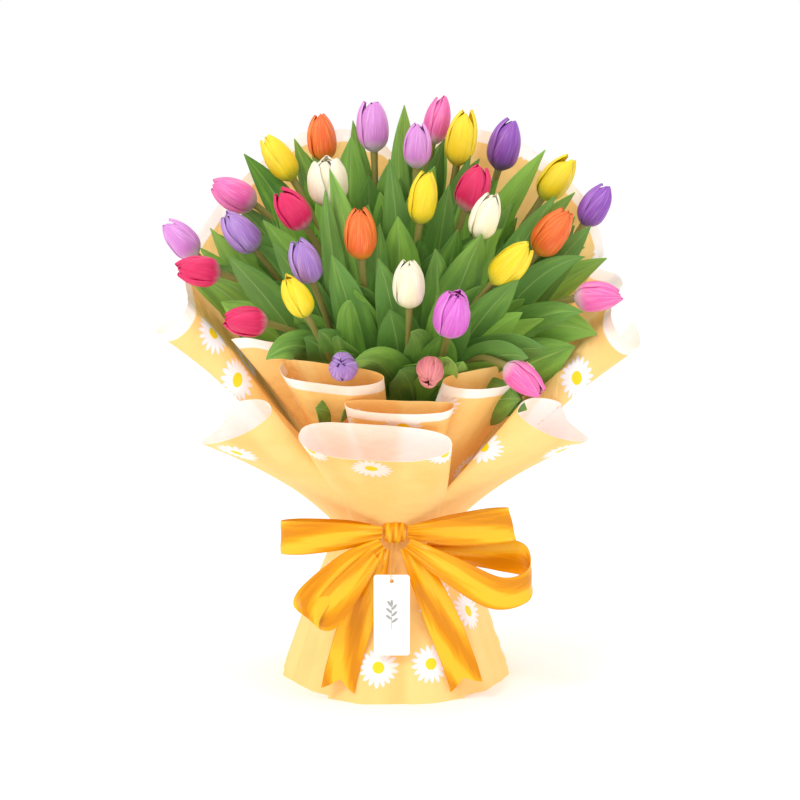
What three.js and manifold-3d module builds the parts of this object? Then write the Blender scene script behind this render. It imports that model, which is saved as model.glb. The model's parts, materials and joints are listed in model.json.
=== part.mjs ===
// A hand-tied bunch of thirty tulips in a paper wrap, standing on its cut stem ends and on the
// rim of the paper skirt. A satin ribbon with a double bow holds the wrap at the waist, and a
// card tag hangs from the bow's knot by a thread.
// Millimetres, +Z up, the front of the bunch faces -Y. The origin is on the floor, in the middle
// of the cut end of the central stem. A bearing is in degrees round Z from the front and grows
// towards +X; a reach is a distance from the Z axis; a rise is a height above the binding.
import * as THREE from "three";
import { mergeVertices } from "three/addons/utils/BufferGeometryUtils.js";
import Module from "manifold-3d";

const wasm = await Module();
wasm.setup();

// ---------------------------------------------------------------- driving dimensions

const TIE_HEIGHT = 152; // height of the binding above the floor
const TOUCH_GAP = 0.35; // left between pieces that touch

const STEM_DIAMETER = 7;
const STEM_SIDES = 5;
const STEM_SPANS = 5; // straight lengths that a stem's bend is made of
const BOUND_GAP = 2.2; // between neighbouring stems at the binding
const FOOT_SPREAD = 1.75; // how far the spiral opens between the binding and the floor
const FOOT_TWIST = 40; // degrees that the spiral turns on the same stretch
const STEM_RISE = 0.36; // share of its length that a stem keeps upright above the binding
const NECK_BEND = 0.3; // share of its length that follows the flower's own lean

const LEAF_THICKNESS = 1.6;
const LEAF_GIRTH = [[0, 0.16], [0.2, 0.7], [0.5, 1], [0.8, 0.6], [1, 0.06]];

const TWINE_DIAMETER = 2.6;
const TWINE_GAP = 2.4; // between the bundle and the twine, as the stems lean out to each side

const PAPER_THICKNESS = 1.2;
const PAPER_GAP = 1.8; // between the layers of paper at the waist
const NECK_HALF_HEIGHT = 8; // the wrap is straight under the ribbon for this far up and down
const SKIRT_REACH = 108; // of the skirt's inmost layer on the floor
const SHEET_BULGE = 0.14; // how much steeper a sheet leaves the waist than it ends
const ROLL_START = 0.3; // share of the way to the rim over which a rolled edge curls up

const RIBBON_WIDTH = 31;
const RIBBON_THICKNESS = 0.9;
const RING_SIDES = 24; // flat sides of the band and the twine
const BAND_HEIGHT = 13; // the ribbon is gathered where it goes round the waist
const KNOT_SIZE = [21, 20, 21];
const TAIL_NOTCH = 20; // depth of the swallowtail cut

const TAG_SIZE = { width: 33, height: 76, thickness: 0.8, corner: 3 };
const TAG_HOLE_DIAMETER = 4;
const TAG_HOLE_INSET = 6; // from the tag's top edge to the middle of its hole
const STRING_DIAMETER = 0.9;

// Each flower: colour, centre of the head [x, y, rise], its lean to the right and its nod to the
// front in degrees, and the head's length and width.
const TULIPS = [
  ["orange", [-68, 11, 359], -5, 8, 46, 28],
  ["yellow", [-108, 0, 340], -33, 10, 50, 27],
  ["lilac", [-20, 6, 369], -2, 8, 48, 30],
  ["lilac", [21, -34, 353], 2, 12, 42, 26],
  ["pink", [40, 16, 374], 12, 8, 46, 25],
  ["yellow", [62, -13, 359], 10, 12, 53, 29],
  ["violet", [104, 20, 351], 15, 8, 49, 32],
  ["yellow", [152, 12, 320], 35, 10, 47, 30],
  ["violet", [187, -10, 297], 30, 10, 44, 28],
  ["cream", [-61, -50, 321], -5, 15, 47, 36],
  ["pink", [-150, -8, 307], -62, 15, 46, 31],
  ["magenta", [-92, -71, 298], -35, 22, 44, 29],
  ["violet", [-140, -56, 276], -38, 20, 45, 30],
  ["lilac", [-198, -26, 267], -42, 12, 44, 28],
  ["magenta", [-178, -67, 242], -80, 25, 42, 29],
  ["orange", [-30, -106, 279], -2, 20, 48, 29],
  ["yellow", [26, -84, 310], 8, 18, 51, 26],
  ["magenta", [72, -50, 316], 20, 15, 46, 31],
  ["cream", [81, -100, 294], 18, 20, 44, 27],
  ["orange", [145, -45, 275], 35, 15, 51, 32],
  ["yellow", [104, -101, 252], 42, 18, 51, 30],
  ["violet", [-79, -110, 255], -18, 25, 44, 28],
  ["yellow", [-86, -127, 226], -25, 25, 44, 25],
  ["cream", [13, -132, 238], 0, 25, 48, 29],
  ["orchid", [51, -143, 213], 10, 38, 52, 33],
  ["magenta", [-133, -106, 201], -82, 28, 42, 28],
  ["pink", [185, -67, 218], 85, 15, 43, 29],
  ["violet", [-45, -148, 167], -10, 74, 46, 26],
  ["coral", [31, -152, 162], 12, 82, 46, 25],
  ["pink", [115, -125, 151], 128, 22, 43, 27],
].map(([colour, [x, y, rise], lean, nod, length, width], i) => ({
  name: `tulip_${String(i + 1).padStart(2, "0")}_${colour}`,
  colour,
  centre: new THREE.Vector3(x, y, TIE_HEIGHT + rise),
  axis: leaning(lean, nod),
  length,
  width,
}));

// Each leaf: the number of its tulip, where its base sits as a share of the way up the stem from
// the binding, its tip [x, y, rise], its width, and how strongly it keeps to the stem's direction
// before it turns to its tip (over 1, it arches over).
const LEAVES = [
  [1, 0.35, [-94, 15, 357], 22, 0.55],
  [1, 0.3, [-40, -5, 360], 34, 0.5],
  [2, 0.25, [-141, 10, 343], 30, 0.55],
  [3, 0.35, [-39, 12, 374], 20, 0.5],
  [4, 0.3, [3, -5, 369], 20, 0.5],
  [5, 0.35, [9, 14, 388], 24, 0.5],
  [5, 0.3, [45, -5, 353], 26, 0.5],
  [6, 0.3, [70, -18, 343], 26, 0.5],
  [7, 0.3, [139, -15, 348], 24, 0.5],
  [7, 0.2, [107, -55, 303], 26, 0.5],
  [8, 0.2, [127, 5, 329], 30, 0.5],
  [8, 0.35, [167, -15, 309], 26, 0.5],
  [9, 0.25, [179, -50, 281], 28, 0.45],
  [9, 0.4, [167, -22, 287], 18, 0.5],
  [10, 0.3, [-24, -62, 301], 30, 0.5],
  [11, 0.25, [-111, -30, 309], 26, 0.5],
  [12, 0.3, [-119, -62, 287], 30, 0.5],
  [13, 0.25, [-161, -45, 273], 24, 0.5],
  [14, 0.3, [-168, -50, 279], 22, 0.5],
  [14, 0.4, [-180, -28, 259], 20, 0.6],
  [15, 0.25, [-149, -92, 258], 28, 0.45],
  [16, 0.3, [-58, -80, 335], 20, 0.55],
  [16, 0.4, [-13, -92, 287], 20, 0.55],
  [17, 0.3, [-5, -35, 341], 22, 0.6],
  [17, 0.25, [3, -102, 294], 32, 0.55],
  [18, 0.3, [49, -72, 320], 26, 0.55],
  [19, 0.25, [77, -118, 280], 36, 0.55],
  [19, 0.35, [36, -118, 267], 22, 0.6],
  [20, 0.25, [147, -48, 309], 24, 0.5],
  [20, 0.35, [112, -72, 273], 26, 0.5],
  [21, 0.3, [110, -112, 239], 28, 0.5],
  [21, 0.35, [135, -118, 178], 30, 0.6],
  [22, 0.35, [-62, -84, 316], 17, 0.6],
  [22, 0.3, [-109, -92, 270], 24, 0.55],
  [23, 0.3, [-67, -130, 196], 26, 0.8],
  [24, 0.3, [-14, -122, 259], 24, 0.55],
  [24, 0.25, [-35, -146, 171], 34, 0.8],
  [25, 0.3, [50, -150, 173], 24, 0.6],
  [25, 0.4, [37, -132, 227], 22, 0.9],
  [26, 0.35, [-113, -135, 171], 24, 0.9],
  [27, 0.25, [173, -62, 254], 24, 0.8],
  [27, 0.4, [170, -88, 207], 22, 0.7],
  [28, 0.2, [-55, -128, 263], 28, 0.6],
  [28, 0.4, [-38, -142, 224], 18, 0.9],
  [29, 0.3, [67, -130, 205], 28, 0.7],
  [29, 0.4, [15, -140, 196], 24, 0.7],
  [30, 0.3, [118, -132, 172], 30, 0.8],
].map(([tulip, base, [x, y, rise], width, arch]) => ({
  tulip: tulip - 1,
  base,
  tip: new THREE.Vector3(x, y, TIE_HEIGHT + rise),
  width,
  arch,
}));

// Each sheet of the wrap: layer counts the sheets under it at the waist; floor and waist are the
// bearings of its two upright edges, and a sheet with no floor ends under the ribbon; rim goes
// from the first edge to the second, as [bearing, reach, rise]. A roll is a strip beyond the
// first edge, or beyond the rim, that is rolled outwards: its width at the waist and at its
// widest, and its turn in degrees.
const SIDE_ROLL = { edge: "first", width: [8, 100], turn: 250 };
const SHEETS = [
  {
    name: "wrap_inner_left_rear",
    layer: 0,
    waist: [-72, -40],
    rim: [[-76, 146, 170], [-66, 159, 178], [-54, 147, 182], [-44, 122, 184]],
  },
  {
    name: "wrap_inner_left",
    layer: 1,
    waist: [-52, -8],
    rim: [[-54, 172, 160], [-38, 158, 160], [-22, 144, 147], [-8, 130, 146]],
  },
  {
    name: "wrap_inner_right",
    layer: 1,
    waist: [16, 64],
    rim: [[20, 134, 146], [32, 146, 147], [46, 154, 148], [66, 164, 164]],
  },
  {
    name: "wrap_inner_front",
    layer: 2,
    waist: [-28, 30],
    rim: [[-24, 154, 130], [-8, 158, 134], [8, 158, 134], [22, 154, 130]],
  },
  {
    name: "wrap_back_left",
    layer: 3,
    waist: [-88, -186],
    rim: [
      [-100, 196, 256], [-108, 176, 288], [-118, 150, 331], [-133, 118, 361], [-152, 97, 358],
      [-172, 87, 350], [-190, 85, 316],
    ],
  },
  {
    name: "wrap_back_right",
    layer: 4,
    waist: [86, 186],
    rim: [
      [97, 200, 248], [107, 192, 300], [118, 168, 328], [132, 126, 364], [150, 101, 356],
      [172, 92, 346], [190, 90, 312],
    ],
  },
  {
    name: "wrap_left",
    layer: 5,
    floor: [-28, -188],
    waist: [-44, -188],
    rim: [[-80, 196, 214], [-100, 198, 236], [-122, 166, 240], [-150, 122, 226], [-190, 108, 200]],
    roll: SIDE_ROLL,
  },
  {
    name: "wrap_right",
    layer: 6,
    floor: [28, 188],
    waist: [44, 188],
    rim: [[80, 206, 202], [98, 210, 228], [122, 180, 242], [150, 132, 228], [190, 116, 202]],
    roll: SIDE_ROLL,
  },
  {
    name: "wrap_collar_left",
    layer: 7,
    waist: [-82, -24],
    rim: [[-88, 178, 132], [-70, 190, 112], [-50, 178, 102], [-32, 166, 100]],
  },
  {
    name: "wrap_collar_right",
    layer: 7,
    waist: [24, 82],
    rim: [[30, 164, 100], [48, 176, 104], [66, 190, 114], [84, 182, 130]],
  },
  {
    name: "wrap_front",
    layer: 8,
    floor: [-32, 34],
    waist: [-42, 40],
    rim: [[-28, 180, 88], [-14, 184, 96], [1, 184, 96], [14, 178, 86]],
    roll: { edge: "rim", width: [34, 34], turn: 170 },
  },
];

// The bow, with every point measured from the middle of its knot: [x, forward, rise, turn, share],
// where turn is how far the ribbon's width leans from upright in degrees, and share is how much
// of its width the ribbon shows where it is gathered.
const LOOPS = {
  bow_loop_upper_left: [
    [-12, 9, 1, 0, 0.4], [-45, 22, 1, 2, 0.8], [-84, 29, 1, 2, 1], [-103, 21, 0, 0, 1],
    [-84, 13, 0, 0, 1], [-45, 9, 1, 0, 0.8], [-22, 6, 1, 0, 0.5],
  ],
  bow_loop_upper_right: [
    [12, 9, 2, 0, 0.4], [48, 26, 6, 8, 0.8], [88, 37, 13, 12, 1], [108, 30, 15, 14, 1],
    [88, 21, 12, 12, 1], [50, 13, 6, 8, 0.8], [24, 8, 3, 0, 0.5],
  ],
  bow_loop_lower_left: [
    [-12, 12, -9, 35, 0.4], [-40, 27, -24, 40, 0.8], [-72, 45, -50, 45, 1], [-80, 54, -64, 48, 1],
    [-67, 49, -69, 48, 1], [-45, 41, -46, 42, 0.9], [-18, 23, -16, 38, 0.5],
  ],
  bow_loop_lower_right: [
    [12, 15, -8, -30, 0.4], [48, 35, -25, -32, 0.8], [92, 53, -44, -20, 1], [122, 47, -38, 0, 1],
    [122, 28, -22, 4, 1], [96, 14, -18, -8, 1], [54, 6, -17, -20, 0.7], [28, 2, -16, -25, 0.4],
  ],
};
// A tail starts at the knot and then hangs in front of the skirt, where the second number is the
// gap to the skirt.
const TAILS = {
  ribbon_tail_left: {
    knotEnd: [[-10, 10.5, -13, -20, 0.4], [-20, 23.5, -41, -18, 0.8]],
    hanging: [[-34, 14, -76, -14, 1], [-47, 12, -118, -12, 1], [-52, 12, -140, -10, 1]],
  },
  ribbon_tail_right: {
    knotEnd: [[11, 10.5, -12, 24, 0.4], [27, 22.5, -40, 26, 0.8]],
    hanging: [[44, 17, -78, 24, 1], [60, 17, -118, 22, 1], [66, 17, -138, 20, 1]],
  },
};
const TAG_PLACE = { x: -2.5, rise: -69, gap: 9 }; // the gap is from its lower edge to the skirt
// The thread goes from the knot, through the tag's hole and back to the knot. The points at the
// hole are measured from the hole's middle.
const STRING_ROUTE = {
  down: [[-2.3, 7.2, -8], [-2.6, 12, -12.5], [-3.4, 30, -23]],
  hole: [[-0.9, 2, 7], [-0.4, 3, 2], [0, 0, 0.2], [0.4, -3, 2], [1.3, -5, 8]],
  up: [[1.2, 24, -20], [2, 12, -12.5], [2, 7.2, -8]],
};

const COLOURS = {
  orange: 0xf0641e,
  yellow: 0xf7d312,
  lilac: 0xd97fd0,
  pink: 0xef5fae,
  violet: 0x8f4fb8,
  cream: 0xf6e9c0,
  magenta: 0xdf1f63,
  orchid: 0xd65bc8,
  coral: 0xe0705f,
};
const PAPER_COLOUR = 0xf9dc92;
const RIBBON_COLOUR = 0xf0a800;
const TWINE_COLOUR = 0xb59a6a;
const TAG_COLOUR = 0xf5f3ee;

// ---------------------------------------------------------------- places that follow from them

const stemPlaces = boundPlaces(TULIPS.length);
const bundleReach = Math.max(...stemPlaces.map((place) => place.length())) + STEM_DIAMETER / 2;
const paperPitch = PAPER_THICKNESS + PAPER_GAP;
const waistReach = bundleReach + TWINE_GAP + TWINE_DIAMETER + PAPER_GAP;
const skirtLayer = Math.min(...SHEETS.filter((sheet) => sheet.floor).map((sheet) => sheet.layer));
const outerLayer = Math.max(...SHEETS.map((sheet) => sheet.layer));
const bandReach = (waistReach + paperPitch * outerLayer + PAPER_THICKNESS) / Math.cos(Math.PI / RING_SIDES);
const knotCentre = new THREE.Vector3(
  0,
  -(bandReach + RIBBON_THICKNESS + TOUCH_GAP + KNOT_SIZE[1] / 2),
  TIE_HEIGHT,
);

// ---------------------------------------------------------------- vectors and curves

function radians(degrees) {
  return THREE.MathUtils.degToRad(degrees);
}

function polar(bearing, reach, height) {
  const angle = radians(bearing);
  return new THREE.Vector3(reach * Math.sin(angle), -reach * Math.cos(angle), height);
}

// A unit vector that leans to the right and nods to the front.
function leaning(lean, nod) {
  const flat = Math.cos(radians(nod));
  const along = radians(lean);
  return new THREE.Vector3(Math.sin(along) * flat, -Math.sin(radians(nod)), Math.cos(along) * flat);
}

function fromKnot([x, forward, rise]) {
  return knotCentre.clone().add(new THREE.Vector3(x, -forward, rise));
}

// A point in front of the skirt, with a gap to it.
function beforeSkirt([x, gap, rise]) {
  const height = TIE_HEIGHT + rise;
  const reach = skirtReach(outerLayer, height);
  return new THREE.Vector3(x, -Math.sqrt(reach * reach - x * x) - gap, height);
}

// The value at t of a smooth line through evenly spaced rows of numbers.
function between(rows, t) {
  const place = t * (rows.length - 1);
  const index = Math.min(Math.floor(place), rows.length - 2);
  const part = place - index;
  const row = (i) => rows[THREE.MathUtils.clamp(i, 0, rows.length - 1)];
  const [before, start, end, after] = [row(index - 1), row(index), row(index + 1), row(index + 2)];
  return start.map((value, k) => {
    const [a, b, c, d] = [before[k], value, end[k], after[k]];
    const bend = 2 * a - 5 * b + 4 * c - d + part * (3 * (b - c) + d - a);
    return b + 0.5 * part * (c - a + part * bend);
  });
}

// ---------------------------------------------------------------- solids

function solidOf(geometry) {
  const bare = geometry.clone();
  for (const name of Object.keys(bare.attributes)) {
    if (name !== "position") bare.deleteAttribute(name);
  }
  const merged = mergeVertices(bare, 1e-3);
  const vertProperties = new Float32Array(merged.attributes.position.array);
  const triVerts = new Uint32Array(merged.index.array);
  return new wasm.Manifold(new wasm.Mesh({ numProp: 3, vertProperties, triVerts }));
}

function geometryOf(solid) {
  const mesh = solid.getMesh();
  const geometry = new THREE.BufferGeometry();
  geometry.setAttribute("position", new THREE.BufferAttribute(new Float32Array(mesh.vertProperties), 3));
  geometry.setIndex(new THREE.BufferAttribute(new Uint32Array(mesh.triVerts), 1));
  geometry.computeVertexNormals();
  return geometry;
}

function largestPiece(solid) {
  return solid.decompose().reduce((a, b) => (b.volume() > a.volume() ? b : a));
}

function boxesMeet(one, other) {
  const a = one.boundingBox();
  const b = other.boundingBox();
  return [0, 1, 2].every((k) => a.min[k] < b.max[k] && b.min[k] < a.max[k]);
}

function cutClear(solid, others) {
  const near = others.filter((other) => boxesMeet(solid, other));
  return near.reduce((rest, other) => rest.subtract(other), solid);
}

const FLOOR_BLOCK = 1000;
const floorBlock = solidOf(
  new THREE.BoxGeometry(FLOOR_BLOCK, FLOOR_BLOCK, FLOOR_BLOCK).translate(0, 0, -FLOOR_BLOCK / 2),
);

function cutAtFloor(solid) {
  return largestPiece(solid.subtract(floorBlock));
}

// A closed body from its corners and triangles, turned to face out.
function closedBody(points, faces) {
  const volume = faces.reduce(
    (sum, [a, b, c]) => sum + points[a].dot(new THREE.Vector3().crossVectors(points[b], points[c])),
    0,
  );
  const geometry = new THREE.BufferGeometry().setFromPoints(points);
  geometry.setIndex(faces.flatMap(([a, b, c]) => (volume < 0 ? [a, c, b] : [a, b, c])));
  return solidOf(geometry);
}

// A slab of even thickness about surface(u, v), with cells in u and v.
function slab(surface, columns, rows, thickness) {
  const step = 1e-3;
  const low = (t) => Math.max(t - step, 0);
  const high = (t) => Math.min(t + step, 1);
  const points = [];
  for (const side of [thickness / 2, -thickness / 2]) {
    for (let j = 0; j <= rows; j++) {
      for (let i = 0; i <= columns; i++) {
        const u = i / columns;
        const v = j / rows;
        const across = surface(high(u), v).sub(surface(low(u), v));
        const along = surface(u, high(v)).sub(surface(u, low(v)));
        const normal = new THREE.Vector3().crossVectors(across, along).normalize();
        points.push(surface(u, v).addScaledVector(normal, side));
      }
    }
  }
  const at = (i, j, side) => side * (columns + 1) * (rows + 1) + j * (columns + 1) + i;
  const faces = [];
  const quad = (a, b, c, d) => faces.push([a, b, c], [a, c, d]);
  for (let j = 0; j < rows; j++) {
    for (let i = 0; i < columns; i++) {
      quad(at(i, j, 0), at(i + 1, j, 0), at(i + 1, j + 1, 0), at(i, j + 1, 0));
      quad(at(i, j, 1), at(i, j + 1, 1), at(i + 1, j + 1, 1), at(i + 1, j, 1));
    }
    quad(at(0, j, 0), at(0, j + 1, 0), at(0, j + 1, 1), at(0, j, 1));
    quad(at(columns, j, 0), at(columns, j, 1), at(columns, j + 1, 1), at(columns, j + 1, 0));
  }
  for (let i = 0; i < columns; i++) {
    quad(at(i, 0, 0), at(i, 0, 1), at(i + 1, 0, 1), at(i + 1, 0, 0));
    quad(at(i, rows, 0), at(i + 1, rows, 0), at(i + 1, rows, 1), at(i, rows, 1));
  }
  return closedBody(points, faces);
}

// A tube with flat ends along a curve; sides is the number of its flat sides.
function tube(curve, steps, diameter, sides) {
  const corners = Array.from({ length: sides }, (_, k) => {
    const angle = (k / sides) * Math.PI * 2;
    return new THREE.Vector2(Math.cos(angle), Math.sin(angle)).multiplyScalar(diameter / 2);
  });
  const options = { steps, bevelEnabled: false, extrudePath: curve };
  return solidOf(new THREE.ExtrudeGeometry(new THREE.Shape(corners), options));
}

// A ring about the Z axis at the binding; its section is [reach, rise] and closes on itself.
function ringAtWaist(section) {
  const profile = [...section, section[0]].map(([reach, rise]) => new THREE.Vector2(reach, rise));
  const geometry = new THREE.LatheGeometry(profile, RING_SIDES);
  return solidOf(geometry.rotateX(Math.PI / 2).translate(0, 0, TIE_HEIGHT));
}

// ---------------------------------------------------------------- tulips

// The places of the bound stems: the points of a hexagonal lattice that lie nearest its middle.
function boundPlaces(count) {
  const pitch = STEM_DIAMETER + BOUND_GAP;
  const reach = Math.ceil(Math.sqrt(count));
  const places = [];
  for (let row = -reach; row <= reach; row++) {
    for (let column = -reach; column <= reach; column++) {
      places.push(new THREE.Vector2((column + row / 2) * pitch, (row * pitch * Math.sqrt(3)) / 2));
    }
  }
  const rank = (place) => Math.round(place.length() * 100);
  places.sort((p, q) => rank(p) - rank(q) || p.angle() - q.angle());
  return places.slice(0, count);
}

// Gives each flower the bound place that lies its own way, so that no two stems cross: two flowers
// swap places for as long as a swap brings them nearer to where they are going.
function assignPlaces() {
  const middle = new THREE.Vector3(0, -60, 0);
  const goals = TULIPS.map(({ centre }) => new THREE.Vector2(centre.x - middle.x, centre.y - middle.y));
  const order = goals.map((_, i) => i).sort((i, j) => goals[i].length() - goals[j].length());
  const given = [];
  order.forEach((tulip, rank) => (given[tulip] = stemPlaces[rank]));
  for (let swapped = true; swapped; ) {
    swapped = false;
    for (let i = 0; i < goals.length; i++) {
      for (let j = i + 1; j < goals.length; j++) {
        const gain = goals[i].clone().sub(goals[j]).dot(given[j].clone().sub(given[i]));
        if (gain > 1e-6) {
          [given[i], given[j]] = [given[j], given[i]];
          swapped = true;
        }
      }
    }
  }
  return given;
}

// A stem's foot, its place in the binding, its neck and the bend between the last two.
function stemPath(tulip, place) {
  const bound = new THREE.Vector3(place.x, place.y, TIE_HEIGHT);
  const turned = place.clone().rotateAround(new THREE.Vector2(), radians(-FOOT_TWIST));
  const foot = new THREE.Vector3(turned.x, turned.y, 0).multiplyScalar(FOOT_SPREAD);
  const neck = tulip.centre.clone().addScaledVector(tulip.axis, -tulip.length / 2);
  const span = neck.distanceTo(bound);
  const below = bound.clone().sub(foot).normalize();
  const above = neck.clone().sub(bound).normalize();
  const bend = new THREE.CubicBezierCurve3(
    bound,
    bound.clone().addScaledVector(below.add(above).normalize(), span * STEM_RISE),
    neck.clone().addScaledVector(tulip.axis, -span * NECK_BEND),
    neck,
  );
  return { foot, bound, neck, bend };
}

// A stem runs on a little way into its head, and is cut flat at the floor.
function stem({ foot, bound, neck, bend }, grow) {
  const intoHead = 3;
  const points = [foot.clone().sub(bound).setLength(STEM_DIAMETER).add(foot), foot];
  for (let k = 0; k <= STEM_SPANS; k++) points.push(bend.getPoint(k / STEM_SPANS));
  points.push(neck.clone().addScaledVector(bend.getTangent(1), intoHead));
  const curve = new THREE.CatmullRomCurve3(points, false, "centripetal");
  return cutAtFloor(tube(curve, points.length, STEM_DIAMETER + grow * 2, STEM_SIDES));
}

// A closed tulip from its seat on the stem to its tip.
const HEAD_SIDES = 7;
const HEAD_GIRTH = [[0, 0.3], [0.12, 0.72], [0.38, 1], [0.7, 0.78], [1, 0.14]];
function head(tulip, grow) {
  const profile = [new THREE.Vector2(0, -grow)];
  for (const [share, girth] of HEAD_GIRTH) {
    const height = THREE.MathUtils.lerp(-grow, tulip.length + grow, share);
    profile.push(new THREE.Vector2((tulip.width / 2) * girth + grow, height));
  }
  profile.push(new THREE.Vector2(0, tulip.length + grow));
  const seat = tulip.centre.clone().addScaledVector(tulip.axis, -tulip.length / 2);
  const turn = new THREE.Quaternion().setFromUnitVectors(new THREE.Vector3(0, 1, 0), tulip.axis);
  const upright = new THREE.LatheGeometry(profile, HEAD_SIDES);
  return solidOf(upright.applyQuaternion(turn).translate(...seat.toArray()));
}

// A leaf blade with a lens-shaped section. It leaves the stem along the stem, and its upper side
// looks in towards the flower.
function blade(leaf, { bend }, grow) {
  const base = bend.getPoint(leaf.base);
  const reach = leaf.tip.distanceTo(base);
  const turning = base.clone().addScaledVector(bend.getTangent(leaf.base), reach * leaf.arch);
  const line = new THREE.QuadraticBezierCurve3(base, turning, leaf.tip);
  const inward = base.clone().sub(leaf.tip).setZ(0).normalize();
  const points = [];
  for (const [share, girth] of LEAF_GIRTH) {
    const way = line.getTangent(share);
    const side = new THREE.Vector3().crossVectors(way, inward).normalize();
    const upper = new THREE.Vector3().crossVectors(side, way).normalize();
    const half = (leaf.width / 2) * girth + grow;
    const deep = LEAF_THICKNESS / 2 + grow;
    const pastEnd = Math.trunc(share * 2 - 1) * grow;
    const centre = line.getPoint(share).addScaledVector(way, pastEnd);
    for (const [across, up] of [[half, 0], [0, deep], [-half, 0], [0, -deep]]) {
      points.push(centre.clone().addScaledVector(side, across).addScaledVector(upper, up));
    }
  }
  const last = points.length - 4;
  const faces = [[0, 1, 2], [0, 2, 3], [last, last + 2, last + 1], [last, last + 3, last + 2]];
  for (let ring = 0; ring < last; ring += 4) {
    for (let k = 0; k < 4; k++) {
      const a = ring + k;
      const b = ring + ((k + 1) % 4);
      faces.push([a, a + 4, b + 4], [a, b + 4, b]);
    }
  }
  return closedBody(points, faces);
}

// Each tulip is one body: its stem, its head and its leaves. A leaf is cut clear of everything that
// was there before it.
function tulips(sheetsWithGap) {
  const given = assignPlaces();
  const paths = TULIPS.map((tulip, i) => stemPath(tulip, given[i]));
  const plant = (tulip, i, grow) => stem(paths[i], grow).add(head(tulip, grow));
  const bodies = TULIPS.map((tulip, i) => plant(tulip, i, 0));
  const bodiesWithGap = TULIPS.map((tulip, i) => plant(tulip, i, TOUCH_GAP));
  const leavesWithGap = [];
  for (const leaf of LEAVES) {
    const path = paths[leaf.tulip];
    const otherPlants = bodiesWithGap.filter((_, i) => i !== leaf.tulip);
    const otherLeaves = leavesWithGap.filter(({ tulip }) => tulip !== leaf.tulip);
    const others = [...otherPlants, ...otherLeaves.map(({ solid }) => solid), ...sheetsWithGap];
    const cut = cutClear(blade(leaf, path, 0), others);
    bodies[leaf.tulip] = largestPiece(bodies[leaf.tulip].add(cut));
    leavesWithGap.push({ tulip: leaf.tulip, solid: blade(leaf, path, TOUCH_GAP) });
  }
  return TULIPS.map(({ name, colour }, i) => {
    return { name, solid: bodies[i], colour: COLOURS[colour], roughness: 0.5 };
  });
}

// ---------------------------------------------------------------- the paper wrap

const NECK_SHARE = 0.25; // share of the way to its lowest end that a sheet is straight

// Where a sheet lies without its roll: u runs from its first edge to its second, and v from -1 at
// the floor, through 0 at the top of the straight neck, to 1 at the rim.
function sheetPoint(sheet, u, v) {
  const neckReach = waistReach + paperPitch * sheet.layer;
  const neckTop = TIE_HEIGHT + NECK_HALF_HEIGHT;
  const neckBearing = THREE.MathUtils.lerp(...sheet.waist, u);
  if (v > 0) {
    const [bearing, reach, rise] = between(sheet.rim, u);
    return polar(
      THREE.MathUtils.lerp(neckBearing, bearing, Math.pow(v, 0.8)),
      THREE.MathUtils.lerp(neckReach, reach, v),
      THREE.MathUtils.lerp(neckTop, TIE_HEIGHT + rise, v * (1 + SHEET_BULGE * (1 - v))),
    );
  }
  const down = -v / NECK_SHARE;
  if (down <= 1) return polar(neckBearing, neckReach, neckTop - 2 * NECK_HALF_HEIGHT * down);
  const spread = (-v - NECK_SHARE) / (1 - NECK_SHARE);
  const height = (TIE_HEIGHT - NECK_HALF_HEIGHT) * (1 - spread);
  const bearing = THREE.MathUtils.lerp(neckBearing, THREE.MathUtils.lerp(...sheet.floor, u), spread);
  return polar(bearing, skirtReach(sheet.layer, height), height);
}

// How far a layer of the skirt is from the Z axis at a height.
function skirtReach(layer, height) {
  const spread = 1 - Math.min(height / (TIE_HEIGHT - NECK_HALF_HEIGHT), 1);
  const floorReach = SKIRT_REACH + paperPitch * (layer - skirtLayer);
  return THREE.MathUtils.lerp(waistReach + paperPitch * layer, floorReach, Math.pow(spread, 0.85));
}

// A point on a strip that leaves an edge of a sheet and is rolled outwards.
function rolledPoint(edge, away, outward, distance, width, turn) {
  if (turn < 0.01) return edge.addScaledVector(away, distance);
  const radius = width / turn;
  const angle = distance / radius;
  edge.addScaledVector(away, radius * Math.sin(angle));
  return edge.addScaledVector(outward, radius * (1 - Math.cos(angle)));
}

// A point on an edge of a sheet, with the direction away from the sheet and the one out from the
// bunch.
function edgeFrame(sheet, u, v, onRim) {
  const step = 0.01;
  const inside = (t) => t + (t > 0.5 ? -step : step);
  const here = sheetPoint(sheet, u, v);
  const awayInU = here.clone().sub(sheetPoint(sheet, inside(u), v));
  const awayInV = here.clone().sub(sheetPoint(sheet, u, inside(v)));
  const outward = new THREE.Vector3().crossVectors(awayInU, awayInV).normalize();
  if (outward.x * here.x + outward.y * here.y < 0) outward.negate();
  return { here, away: (onRim ? awayInV : awayInU).normalize(), outward };
}

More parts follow.
